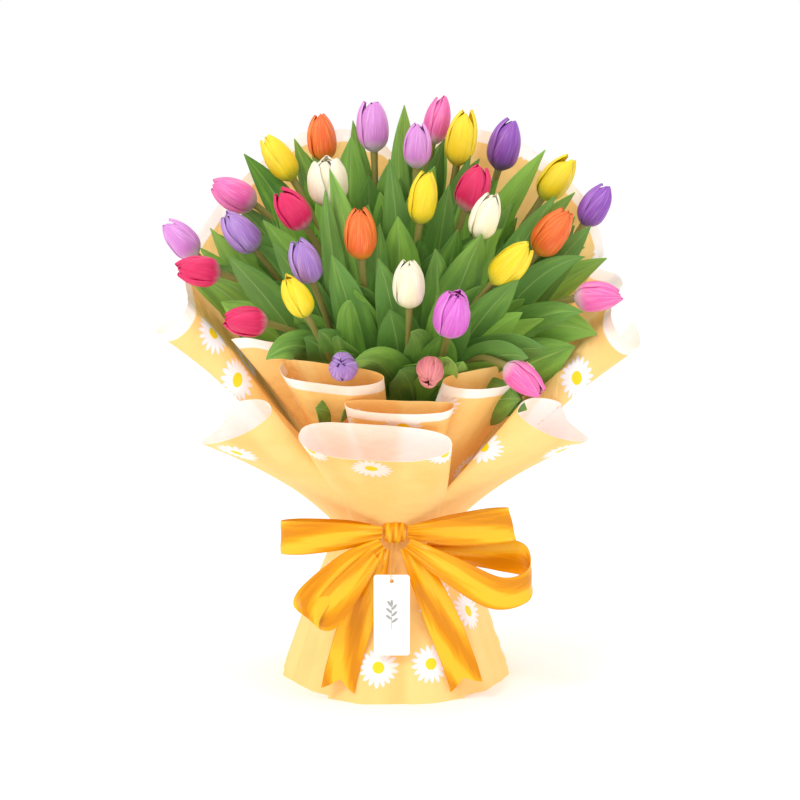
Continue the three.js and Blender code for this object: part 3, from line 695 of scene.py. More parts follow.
@dataclass(frozen=True)
class PaperFinish:
    """Wrapping paper: daisies on warm yellow with a pale border, and a pale reverse.

    Attributes:
        outside: what the side that looks out from the bunch shows.
        inside: what the side that looks in shows.
        border: width of the pale border at the rim.
        cell: distance between daisies.
        daisy: radius of a daisy.
        petals: how many a daisy has.
        absent: share of the cells that have none.
        ground: main colour of the print.
        deep: its darker tint, also used as painted shade in the creases.
        pale: colour of the border.
        reverse: colour of the pale side.
        petal: colour of the daisies.
        shadow: colour of the lines between petals.
        eye: colour of the daisies' middles.
    """

    outside: Face = Face.PRINT
    inside: Face = Face.PRINT
    border: float = 12
    cell: float = 74
    daisy: float = 20
    petals: int = 17
    absent: float = 0.25
    ground: str = "#f8ce80"
    deep: str = "#f4c26c"
    pale: str = "#fff7f2"
    reverse: str = "#fdf0ea"
    petal: str = "#f5ecec"
    shadow: str = "#dccfd8"
    eye: str = "#f6d20a"

    def _daisies(self, g: Graph, flat: Wire) -> tuple[Wire, Wire, Wire]:
        """Draws one daisy in most cells of a jittered grid.

        A petal is the ellipse ((r - m)/a)^2 + (r p/b)^2 < 1, where p is the angle from the
        nearest petal's middle line; the eye is a disc.

        Args:
            g: the graph.
            flat: flat coordinates.

        Returns:
            Masks for the petals, the eye, and the darker line between petals.
        """
        cells = g.scaled(flat, 1 / self.cell)
        corner = g.vector("FLOOR", cells)
        luck, chance_y, chance_z = g.separate(g.chance(corner))
        x, y, _ = g.separate(g.vector("SUBTRACT", cells, corner))
        spare = self.cell / 2 - self.daisy
        x = (x - 0.5) * self.cell + (luck - 0.5) * (2 * spare)
        y = (y - 0.5) * self.cell + (chance_y - 0.5) * (2 * spare)
        r = g.math("SQRT", x * x + y * y) / self.daisy
        shown = g.math("GREATER_THAN", chance_z, self.absent)
        turn = g.math("ARCTAN2", y, x) * (self.petals / (2 * math.pi)) + luck * 9.0
        number = g.math("FLOOR", turn)
        p = (turn - number - 0.5) * (2 * math.pi / self.petals)
        own = g.separate(g.chance(g.combine(number, luck * 50.0, 0.0)))[0]
        lengthways = (r - 0.56 + own * 0.1) / 0.4
        sideways = r * p / 0.12
        inside = lengthways * lengthways + sideways * sideways
        petal = g.step(1.12, 0.94, inside) * shown
        eye = g.step(0.29, 0.26, r) * shown
        line = g.step(0.35, 0.95, inside) * petal
        return petal, eye, line

    def make(self, name: str) -> Material:
        """Makes the material: daisies over the ground, then the border and the reverse, painted shade in the
        creases and a faint painted glow.

        Args:
            name: the material's name.

        Returns:
            The material.
        """
        g = Graph(name)
        flat = g.flat()
        fibres = g.noise(flat, 0.35, 5, 0.65)
        tint = g.noise(flat, 0.016, 2, 0.5)
        printed = g.blend(g.step(0.35, 0.7, tint) * 0.6, linear(self.ground), linear(self.deep))
        petal, eye, line = self._daisies(g, flat)
        printed = g.blend(petal, printed, linear(self.petal))
        printed = g.blend(line * 0.5, printed, linear(self.shadow))
        printed = g.blend(eye, printed, linear(self.eye))
        edge = g.step(self.border + 1, self.border - 1, g.attribute("rim"))
        printed = g.blend(edge * 0.92, printed, linear(self.pale))
        reverse = g.blend(g.step(0.3, 0.7, tint), linear(self.reverse), linear(self.pale))
        faces = {Face.PRINT: printed, Face.PALE: reverse}
        outside = faces[self.outside]
        if self.outside is Face.PRINT:
            outside = g.blend(g.attribute("rolled"), printed, reverse)
        colour = g.blend(g.step(0.4, 0.6, g.attribute("side")), outside, faces[self.inside])
        # Painted shade: the hollows of the creases are darkened towards the deep tint.
        colour = g.blend(g.attribute("painted_crease_shade") * 0.3, colour, linear(self.deep), "MULTIPLY")
        crumple = g.noise(flat, 0.06, 4, 0.6)
        ridge = g.math("ABSOLUTE", g.noise(flat, 0.026, 2, 0.5) - 0.5)
        return g.surface({
            "Base Color": colour,
            "Roughness": fibres * 0.2 + 0.5,
            # Painted light: the paper glows faintly in its own colour, standing in for light that comes
            # through thin paper.
            "Emission Color": colour,
            "Emission Strength": 0.1,
            "Normal": g.bump(fibres * 0.06 + crumple * 0.44 + ridge * 1.8, 2.2),
        })


@dataclass(frozen=True)
class SatinFinish:
    """Golden satin: a fine weave, soft folds with a painted highlight and painted shade, and a smooth gloss.

    Attributes:
        body: main colour.
        light: colour of the painted highlight on the tops of the folds and along the streaks.
        deep: colour of the painted shade in the hollows of the folds, and of the weave and the hems.
        glint: tint of the sheen.
        coat: tint of the gloss over it.
    """

    body: str = "#f4a904"
    light: str = "#ffd43a"
    deep: str = "#d38600"
    glint: str = "#ffd060"
    coat: str = "#ffdf8a"

    def make(self, name: str) -> Material:
        """Makes the material: crossed fine waves for the weave, and a painted sheen that follows the folds,
        lighter on their tops and darker in their hollows.

        Args:
            name: the material's name.

        Returns:
            The material.
        """
        g = Graph(name)
        x, y, _ = g.separate(g.flat())
        weft = g.math("SINE", y * 16.0)
        warp = g.math("SINE", x * 21.0)
        sheen = g.noise(g.combine(x * 0.2, y * 0.02, 0.0), 1.2, 3, 0.5)
        # Painted highlight and shade: streaks along the ribbon and the painted fold light mask choose a
        # lighter or darker colour.
        gloss = sheen * 0.55 + g.attribute("crest") * 0.45
        colour = g.blend(g.step(0.46, 0.66, gloss) * 0.85, linear(self.body), linear(self.light))
        colour = g.blend(g.step(0.46, 0.28, gloss) * 0.8, colour, linear(self.deep))
        colour = g.blend((weft * 0.5 + 0.5) * 0.12, colour, linear(self.deep))
        edge = g.step(0.93, 0.97, g.attribute("hem"))
        colour = g.blend(edge * 0.45, colour, linear(self.deep))
        return g.surface({
            "Base Color": colour,
            "Roughness": sheen * 0.1 + 0.18,
            "Specular IOR Level": 0.7,
            "Specular Tint": linear(self.glint),
            "Coat Weight": 0.4,
            "Coat Roughness": 0.16,
            "Coat Tint": linear(self.coat),
            "Normal": g.bump(weft * 0.3 + warp * 0.2 + edge * 0.5, 0.03),
        })


@dataclass(frozen=True)
class FibreFinish:
    """Twisted jute or metallic thread.

    Attributes:
        body: main colour.
        light: colour of the fibres on top.
        rough: the least roughness.
        metal: how metallic it is.
    """

    body: str
    light: str
    rough: float
    metal: float

    def make(self, name: str) -> Material:
        """Makes the material: noise on the place gives loose fibres.

        Args:
            name: the material's name.

        Returns:
            The material.
        """
        g = Graph(name)
        x, y, _ = g.separate(g.flat())
        fibres = g.noise(g.combine(x * 1.3 + y * 0.7, y * 0.3, 0.0), 2.4, 4, 0.6)
        colour = g.blend(g.step(0.3, 0.7, fibres), linear(self.body), linear(self.light))
        return g.surface({
            "Base Color": colour,
            "Roughness": fibres * 0.2 + self.rough,
            "Metallic": self.metal,
            "Normal": g.bump(fibres, 0.15),
        })


@dataclass(frozen=True)
class CardFinish:
    """White card with a plain grey sprig in the middle.

    Attributes:
        centre: the middle of the card, as x and z.
        card: colour of the card.
        grain: colour of its fibres.
        ink: colour of the sprig.
        sprig: its ellipses, each as side, height and slant.
        length: of an ellipse.
        width: of an ellipse.
    """

    centre: tuple[float, float]
    card: str = "#fbfaf6"
    grain: str = "#efece2"
    ink: str = "#8d908c"
    sprig: Triples = (
        (1, -7, 0.9), (-1, -4, 0.9), (1, -1, 0.8), (-1, 2, 0.8), (1, 5, 0.7), (-1, 8, 0.6), (1, 7.9, 0),
    )
    length: float = 6.8
    width: float = 2.5

    def make(self, name: str) -> Material:
        """Makes the material: the sprig is a thin line and seven slanting ellipses.

        Args:
            name: the material's name.

        Returns:
            The material.
        """
        g = Graph(name)
        place = g.place()
        x, _, z = g.separate(place)
        x, z = x - self.centre[0], z - self.centre[1]
        ink = g.step(0.45, 0.25, g.math("ABSOLUTE", x)) * g.step(-13.5, -13.0, z) * g.step(9.0, 8.5, z)
        for side, height, slant in self.sprig:
            along = x * side * math.sin(slant) + (z - height) * math.cos(slant)
            along = (along - 0.2 - self.length / 2) / (self.length / 2)
            aside = x * side * math.cos(slant) - (z - height) * math.sin(slant)
            aside = aside / (self.width / 2)
            ink = g.math("MAXIMUM", ink, g.step(1.1, 0.9, along * along + aside * aside))
        fibres = g.noise(place, 0.6, 5, 0.6)
        colour = g.blend(g.step(0.3, 0.7, fibres) * 0.15, linear(self.card), linear(self.grain))
        colour = g.blend(ink * 0.85, colour, linear(self.ink))
        return g.surface({
            "Base Color": colour,
            "Roughness": fibres * 0.15 + 0.5,
            "Normal": g.bump(fibres, 0.1),
        })


PETALS = {
    "orange": PetalFinish("#f6a53a", "#f0641c", "#ff9a4a", "#ee5a2a"),
    "yellow": PetalFinish("#d9d64a", "#fddb0c", "#ffea4a", "#fbc800", 0.25),
    "lilac": PetalFinish("#f1e6ea", "#d988d6", "#f0b4ea", "#cf74cf"),
    "pink": PetalFinish("#fbdce0", "#f062ae", "#fba0cf", "#ea4f9f"),
    "violet": PetalFinish("#8a6aa8", "#9149b8", "#b784d4", "#6f3296", 0.45),
    "lavender": PetalFinish("#cbb6d6", "#a676c6", "#cfaee2", "#8a55b4", 0.4),
    "cream": PetalFinish("#e6e6a8", "#fbf0cf", "#fffaea", "#f6e6a6", 0.45),
    "magenta": PetalFinish("#f6c0bc", "#df0f5a", "#ee3576", "#c80c4e"),
    "orchid": PetalFinish("#f3d0ea", "#db62d0", "#ee96e0", "#c94fc0"),
    "coral": PetalFinish("#f4cfae", "#de7a7c", "#f2a8a0", "#d0558a", 0.5),
}


# ---------------------------------------------------------------- places read from the frame


# Air between the twine and the inmost sheet, and from each layer of paper to the next.
PAPER_GAP = 1.8
PAPER_PITCH = 3.0
# The layer whose skirt has the reach below at the floor, and the outmost layer.
SKIRT_LAYER = 5
OUTER_LAYER = 8
SKIRT_REACH = 108
SKIRT_FLARE = 0.85
# Half the height of the straight neck at the binding, and its share of a sheet's way down.
NECK_HALF_HEIGHT = 8
NECK_SHARE = 0.25
SHEET_BULGE = 0.14
# The distance to the rim that is given where a border shows nowhere.
NO_RIM = 99.0


@dataclass(frozen=True)
class Waist:
    """Places that every piece is measured from, read from the CAD frame in millimetres.

    Attributes:
        tie: height of the binding.
        reach: of the inmost paper at the binding.
        band: of the ribbon band's outer face.
        knot: the middle of the bow's knot.
    """

    tie: float
    reach: float
    band: float
    knot: Array

    @classmethod
    def read(cls) -> "Waist":
        """Measures the twine, the band and the knot.

        Returns:
            The places.
        """
        boxes = [np.array(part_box(node)) / MM for node in ("binding_twine", "ribbon_band", "bow_knot")]
        twine, band, knot = boxes
        return cls(
            tie=float(twine[:, 2].mean()),
            reach=float(twine[1, 0]) + PAPER_GAP,
            band=float(band[1, 0]),
            knot=knot.mean(axis=0),
        )


def skirt_reach(waist: Waist, layer: int, height: Array) -> Array:
    """Tells how far a layer of the skirt is from the Z axis at a height.

    Args:
        waist: places from the frame.
        layer: sheets under it at the waist.
        height: above the floor.

    Returns:
        The distance, which grows as a power of the way down.
    """
    spread = 1 - np.minimum(height / (waist.tie - NECK_HALF_HEIGHT), 1)
    floor_reach = SKIRT_REACH + PAPER_PITCH * (layer - SKIRT_LAYER)
    return mix(waist.reach + PAPER_PITCH * layer, floor_reach, spread**SKIRT_FLARE)


def before_skirt(waist: Waist, x: float, gap: float, rise: float) -> Array:
    """Gives a point in front of the skirt.

    Args:
        waist: places from the frame.
        x: how far it is to the right.
        gap: its distance from the skirt.
        rise: above the binding.

    Returns:
        The point.
    """
    height = waist.tie + rise
    reach = float(skirt_reach(waist, OUTER_LAYER, np.array(height)))
    return np.array([x, -math.sqrt(reach * reach - x * x) - gap, height])


def from_knot(waist: Waist, x: float, forward: float, rise: float) -> Array:
    """Gives a point measured from the middle of the knot."""
    return waist.knot + np.array([x, -forward, rise])


# ---------------------------------------------------------------- tulips


@dataclass(frozen=True)
class Tulip:
    """One tulip.

    Attributes:
        number: its number in the bunch.
        colour: the name of its colour.
        centre: the head's middle as (x, y, rise).
        lean: degrees to the right.
        nod: degrees to the front.
        length: of the head.
        width: of the head.
        spin: azimuth of an outer petal from the front, in degrees.
        openness: 0 for a closed bud, and 1 for a cup.
        look: the name of its petals' finish, where it isn't the colour's own.
    """

    number: int
    colour: str
    centre: tuple[float, float, float]
    lean: float
    nod: float
    length: float
    width: float
    spin: float
    openness: float = 0.12
    look: str = ""

    @property
    def node(self) -> str:
        """Gives the name of its CAD node."""
        return f"tulip_{self.number:02d}_{self.colour}"

    @property
    def axis(self) -> Array:
        """Gives the direction up its head.

        Returns:
            A unit vector.
        """
        lean, nod = math.radians(self.lean), math.radians(self.nod)
        axis = np.array([math.sin(lean) * math.cos(nod), -math.sin(nod), math.cos(lean) * math.cos(nod)])
        return axis / np.linalg.norm(axis)


TULIPS = [
    Tulip(1, "orange", (-68, 11, 359), -5, 8, 46, 28, 10),
    Tulip(2, "yellow", (-108, 0, 340), -33, 10, 50, 27, 50),
    Tulip(3, "lilac", (-20, 6, 369), -2, 8, 48, 30, 15, 0.35),
    Tulip(4, "lilac", (21, -34, 353), 2, 12, 42, 26, -15),
    Tulip(5, "pink", (40, 16, 374), 12, 8, 46, 25, 40),
    Tulip(6, "yellow", (62, -13, 359), 10, 12, 53, 29, -8),
    Tulip(7, "violet", (104, 20, 351), 15, 8, 49, 32, 20),
    Tulip(8, "yellow", (152, 12, 320), 35, 10, 47, 30, 0),
    Tulip(9, "violet", (187, -10, 297), 30, 10, 44, 28, 30),
    Tulip(10, "cream", (-61, -50, 321), -5, 15, 47, 36, 55, 0.45),
    Tulip(11, "pink", (-150, -8, 307), -62, 15, 46, 31, 20),
    Tulip(12, "magenta", (-92, -71, 298), -35, 22, 44, 29, 5),
    Tulip(13, "violet", (-140, -56, 276), -38, 20, 45, 30, 35, look="lavender"),
    Tulip(14, "lilac", (-198, -26, 267), -42, 12, 44, 28, -20),
    Tulip(15, "magenta", (-178, -67, 242), -80, 25, 42, 29, 25),
    Tulip(16, "orange", (-30, -106, 279), -2, 20, 48, 29, -5),
    Tulip(17, "yellow", (26, -84, 310), 8, 18, 51, 26, 12),
    Tulip(18, "magenta", (72, -50, 316), 20, 15, 46, 31, -25),
    Tulip(19, "cream", (81, -100, 294), 18, 20, 44, 27, 18),
    Tulip(20, "orange", (145, -45, 275), 35, 15, 51, 32, 8),
    Tulip(21, "yellow", (104, -101, 252), 42, 18, 51, 30, -30),
    Tulip(22, "violet", (-79, -110, 255), -18, 25, 44, 28, 14, look="lavender"),
    Tulip(23, "yellow", (-86, -127, 226), -25, 25, 44, 25, 48),
    Tulip(24, "cream", (13, -132, 238), 0, 25, 48, 29, 4),
    Tulip(25, "orchid", (51, -143, 213), 10, 38, 52, 33, 30, 0.3),
    Tulip(26, "magenta", (-133, -106, 201), -82, 28, 42, 28, 0),
    Tulip(27, "pink", (185, -67, 218), 85, 15, 43, 29, 12),
    Tulip(28, "violet", (-45, -148, 167), -10, 74, 46, 26, 0, 0.05, look="lavender"),
    Tulip(29, "coral", (31, -152, 162), 12, 100, 46, 25, 40, 0.05),
    Tulip(30, "pink", (115, -125, 151), 128, 22, 43, 27, 20),
]

# Each leaf: its tulip, where its base sits up the stem, its tip (x, y, rise), its width, and how
# strongly it keeps to the stem's direction before it turns to its tip.
LEAVES = [
    (1, 0.35, (-94, 15, 357), 22, 0.55), (1, 0.3, (-40, -5, 360), 34, 0.5),
    (2, 0.25, (-141, 10, 343), 30, 0.55), (3, 0.35, (-39, 12, 374), 20, 0.5),
    (4, 0.3, (3, -5, 369), 20, 0.5), (5, 0.35, (9, 14, 388), 24, 0.5),
    (5, 0.3, (45, -5, 353), 26, 0.5), (6, 0.3, (70, -18, 343), 26, 0.5),
    (7, 0.3, (139, -15, 348), 24, 0.5), (7, 0.2, (107, -55, 303), 26, 0.5),
    (8, 0.2, (127, 5, 329), 30, 0.5), (8, 0.35, (167, -15, 309), 26, 0.5),
    (9, 0.25, (179, -50, 281), 28, 0.45), (9, 0.4, (167, -22, 287), 18, 0.5),
    (10, 0.3, (-24, -62, 301), 30, 0.5), (11, 0.25, (-111, -30, 309), 26, 0.5),
    (12, 0.3, (-119, -62, 287), 30, 0.5), (13, 0.25, (-161, -45, 273), 24, 0.5),
    (14, 0.3, (-168, -50, 279), 22, 0.5), (14, 0.4, (-180, -28, 259), 20, 0.6),
    (15, 0.25, (-149, -92, 258), 28, 0.45), (16, 0.3, (-58, -80, 335), 20, 0.55),
    (16, 0.4, (-13, -92, 287), 20, 0.55), (17, 0.3, (-5, -35, 341), 22, 0.6),
    (17, 0.25, (3, -102, 294), 32, 0.55), (18, 0.3, (49, -72, 320), 26, 0.55),
    (19, 0.25, (77, -118, 280), 36, 0.55), (19, 0.35, (36, -118, 267), 22, 0.6),
    (20, 0.25, (147, -48, 309), 24, 0.5), (20, 0.35, (112, -72, 273), 26, 0.5),
    (21, 0.3, (110, -112, 239), 28, 0.5), (21, 0.35, (135, -118, 178), 30, 0.6),
    (22, 0.35, (-62, -84, 316), 17, 0.6), (22, 0.3, (-109, -92, 270), 24, 0.55),
    (23, 0.3, (-67, -130, 196), 26, 0.8), (24, 0.3, (-14, -122, 259), 24, 0.55),
    (24, 0.25, (-35, -146, 171), 34, 0.8), (25, 0.3, (50, -150, 173), 24, 0.6),
    (25, 0.4, (37, -132, 227), 22, 0.9), (26, 0.35, (-113, -135, 171), 24, 0.9),
    (27, 0.25, (173, -62, 254), 24, 0.8), (27, 0.4, (170, -88, 207), 22, 0.7),
    (28, 0.2, (-55, -128, 263), 28, 0.6), (28, 0.4, (-38, -142, 224), 18, 0.9),
    (29, 0.3, (67, -130, 205), 28, 0.7), (29, 0.4, (15, -140, 196), 24, 0.7),
    (30, 0.3, (118, -132, 172), 30, 0.8),
]


@dataclass(frozen=True)
class Bundle:
    """The spiral of bound stems.

    Attributes:
        waist: places from the frame.
        diameter: of a stem.
        gap: between neighbouring stems at the binding.
        foot_spread: how far the spiral opens down to the floor.
        foot_twist: degrees that it turns on the way.
        rise: share of its length that a stem keeps upright above the binding.
        neck_bend: share of its length that follows the flower's own lean.
    """

    waist: Waist
    diameter: float = 7
    gap: float = 2.2
    foot_spread: float = 1.75
    foot_twist: float = 40
    rise: float = 0.36
    neck_bend: float = 0.3

    def places(self) -> Array:
        """Lists the points of a hexagonal lattice that lie nearest its middle.

        Returns:
            A pair of numbers for each stem.
        """
        pitch = self.diameter + self.gap
        reach = math.ceil(math.sqrt(len(TULIPS)))
        steps = range(-reach, reach + 1)
        spots = [((c + r / 2) * pitch, r * pitch * math.sqrt(3) / 2) for r in steps for c in steps]

        def rank(spot: tuple[float, float]) -> tuple[int, float]:
            """Sorts by distance, then by angle."""
            return math.floor(math.hypot(*spot) * 100 + 0.5), math.atan2(-spot[1], -spot[0]) + math.pi

        return np.array(sorted(spots, key=rank)[: len(TULIPS)])

    def given(self) -> list[Array]:
        """Gives each tulip the place that lies its own way, swapping pairs while that helps.

        Returns:
            A place for each tulip.
        """
        spots = self.places()
        goals = np.array([(t.centre[0], t.centre[1] + 60) for t in TULIPS], dtype=float)
        order = sorted(range(len(goals)), key=lambda i: float(np.hypot(*goals[i])))
        given = [np.zeros(2)] * len(goals)
        for rank, tulip in enumerate(order):
            given[tulip] = spots[rank]
        swapped = True
        while swapped:
            swapped = False
            for i in range(len(goals)):
                for j in range(i + 1, len(goals)):
                    if (goals[i] - goals[j]) @ (given[j] - given[i]) > 1e-6:
                        given[i], given[j] = given[j], given[i]
                        swapped = True
        return given

    def path(self, tulip: Tulip, place: Array) -> tuple[Array, Array]:
        """Works out a stem's foot and the cubic Bezier that it follows above the binding.

        Args:
            tulip: the tulip.
            place: its place in the binding.

        Returns:
            The foot, and the curve's four points.
        """
        bound = np.array([*place, self.waist.tie])
        turn = math.radians(-self.foot_twist)
        x = place[0] * math.cos(turn) - place[1] * math.sin(turn)
        y = place[0] * math.sin(turn) + place[1] * math.cos(turn)
        foot = np.array([x * self.foot_spread, y * self.foot_spread, 0])
        centre = np.array(tulip.centre, dtype=float) + (0, 0, self.waist.tie)
        neck = centre - tulip.axis * tulip.length / 2
        span = np.linalg.norm(neck - bound)
        way = unit(unit(bound - foot) + unit(neck - bound))
        return foot, np.array([
            bound, bound + way * span * self.rise, neck - tulip.axis * span * self.neck_bend, neck
        ])


def bezier(points: Array, t: Array) -> Array:
    """Reads a Bezier curve, the sum of its n + 1 points times C(n, k) t^k (1 - t)^(n - k).

    Args:
        points: its three or four points.
        t: shares of the way along it.

    Returns:
        The places at those shares.
    """
    degree = len(points) - 1
    t = np.asarray(t, dtype=float)[..., None]
    terms = (math.comb(degree, k) * t**k * (1 - t) ** (degree - k) * points[k] for k in range(degree + 1))
    return sum(terms)


@dataclass(frozen=True)
class Flower:
    """A tulip's head: three outer petals over three inner ones.

    A petal's point at t up its length and s across it lies at the angle a + s A(t), at the
    distance R(t) W/2 from the axis, where R and A come from tables; its edges tuck in, one edge
    laps over its neighbour, and its midrib is a shallow groove.

    Attributes:
        thickness: of a petal.
        rows: points along a petal.
        columns: points across it.
        tuck: how far the outer petals' edges tuck in, as a share of the half width.
        lap: how far an edge laps over its neighbour, as such a share.
        groove: depth of the midrib's groove, as such a share.
        girth: the outer petals' distance from the axis, by the share of the length.
        inner_girth: the same of the inner petals.
        spread: half the angle that an outer petal takes, in degrees, by the share of the length.
    """

    thickness: float = 0.55
    rows: int = 26
    columns: int = 15
    tuck: float = 0.13
    lap: float = 0.035
    groove: float = 0.03
    girth: Pairs = (
        (0, 0.2), (0.05, 0.5), (0.12, 0.75), (0.24, 0.94), (0.38, 1), (0.55, 0.98), (0.7, 0.88),
        (0.82, 0.74), (0.92, 0.55), (1, 0.32),
    )
    inner_girth: Pairs = (
        (0, 0.15), (0.05, 0.4), (0.12, 0.62), (0.24, 0.78), (0.38, 0.84), (0.55, 0.82), (0.7, 0.74),
        (0.82, 0.6), (0.92, 0.38), (1, 0.05),
    )
    spread: Pairs = (
        (0, 56), (0.2, 61), (0.38, 59), (0.55, 53), (0.7, 47), (0.82, 42), (0.92, 36), (0.97, 29),
        (1, 14),
    )

    def make(self, tulip: Tulip, waist: Waist, material: Material) -> Piece:
        """Makes a tulip's six petals as one piece.

        Args:
            tulip: the tulip.
            waist: places from the frame.
            material: its petals' finish.

        Returns:
            The piece.
        """
        luck = np.random.default_rng(1000 + tulip.number)
        skin = Skin(f"{tulip.node}_flower")
        centre = np.array(tulip.centre, dtype=float) + (0, 0, waist.tie)
        seat = centre - tulip.axis * tulip.length / 2
        toward = np.array([0.0, -1.0, 0.0])
        if abs(tulip.axis @ toward) > 0.9:
            toward = np.array([0.0, 0.0, 1.0])
        first = unit(toward - tulip.axis * (toward @ tulip.axis))
        second = np.cross(tulip.axis, first)
        for k in range(6):
            outer = k % 2 == 0
            local, t, s = self._petal(tulip, tulip.spin + 60 * k, outer, luck)
            grid = seat + local[..., :1] * first + local[..., 1:2] * second + local[..., 2:] * tulip.axis
            flat = np.stack([s * tulip.width, t * tulip.length], axis=-1)
            skin.shell(grid, self.thickness, flat, along=t, across=s, seed=luck.random())
        return skin.make(material, tulip.node, f"tulip_{tulip.colour}", sharp=60)

    def _petal(
        self, tulip: Tulip, azimuth: float, outer: bool, luck: np.random.Generator
    ) -> tuple[Array, Array, Array]:
        """Shapes one petal about its own axis.

        Args:
            tulip: the tulip.
            azimuth: of the petal's middle line, in degrees.
            outer: whether it is one of the outer three.
            luck: the tulip's random numbers.

        Returns:
            The points, and the share along and the share across of each.
        """
        t, s = np.meshgrid(np.linspace(0, 1, self.rows), np.linspace(-1, 1, self.columns), indexing="ij")
        half = tulip.width / 2
        opening = (tulip.openness - 0.12) * (0.7 if outer else 0.45) + luck.uniform(-0.01, 0.02)
        reach = half * (profile(self.girth if outer else self.inner_girth, t) + opening * t**2.2)
        reach -= half * (self.tuck if outer else 0.02) * np.abs(s) ** 2.6 * smooth(0.05, 0.5, t)
        reach += half * self.lap * s * (1 if outer else -1)
        reach -= half * self.groove * np.exp(-((s / 0.16) ** 2)) * np.sin(np.pi * np.clip(t, 0, 0.96))
        phase = luck.uniform(0, 6)
        reach += half * 0.035 * np.sin(7 * t + phase) * np.abs(s) ** 3 * smooth(0.3, 0.9, t)
        flare = luck.uniform(0.0, 0.1) * (1 if outer else 0.2)
        reach += half * flare * smooth(0.85, 1, t)
        spread = s * (profile(self.spread, t) if outer else 62 - 18 * t**2)
        angle = np.radians(azimuth + luck.uniform(-5, 5) + spread + luck.uniform(2, 10) * (t - 0.4))
        length = tulip.length * luck.uniform(0.94, 1.02) * (1 if outer else 0.97)
        height = length * (t**0.96 - 0.035 * s**2 * smooth(0.6, 1, t))
        return np.stack([reach * np.cos(angle), reach * np.sin(angle), height], axis=-1), t, s


@dataclass(frozen=True)
class Stem:
    """A stem from its cut foot to its head: a tube that widens a little at the seat.

    Attributes:
        sides: points round it.
        rows: points along it.
        taper: how much thinner its upper part is, as a share.
        seat: how much thicker it grows under the head, as a share.
        sunk: how far it goes into the head.
        flat_size: size of its skin when flat, across and along.
    """

    sides: int = 12
    rows: int = 46
    taper: float = 0.12
    seat: float = 0.16
    sunk: float = 2
    flat_size: tuple[float, float] = (11, 400)

    def make(self, tulip: Tulip, bundle: Bundle, path: tuple[Array, Array], material: Material) -> Piece:
        """Makes the stem.

        Args:
            tulip: its tulip.
            bundle: the bundle it is in.
            path: its foot and curve.
            material: its finish.

        Returns:
            The piece.
        """
        foot, curve = path
        knots = [foot, *bezier(curve, np.linspace(0, 1, 6))]
        line = evened(between(np.array(knots), np.linspace(0, 1, 160)), self.rows)
        line[-1] += tulip.axis * self.sunk
        t = np.linspace(0, 1, self.rows)
        radius = bundle.diameter / 2 * (1 - self.taper * smooth(0.2, 0.8, t) + self.seat * smooth(0.97, 1, t))
        rings = tube_rings(line, radius, self.sides)
        around = np.tile(np.linspace(-1, 1, self.sides, endpoint=False), (self.rows, 1))
        along = np.tile(t[:, None], (1, self.sides))
        skin = Skin(f"{tulip.node}_stem")
        flat = np.stack([around, along], axis=-1) * self.flat_size
        skin.tube(rings, flat, along=along, across=around, seed=tulip.number * 0.137)
        return skin.make(material, tulip.node, "stem")


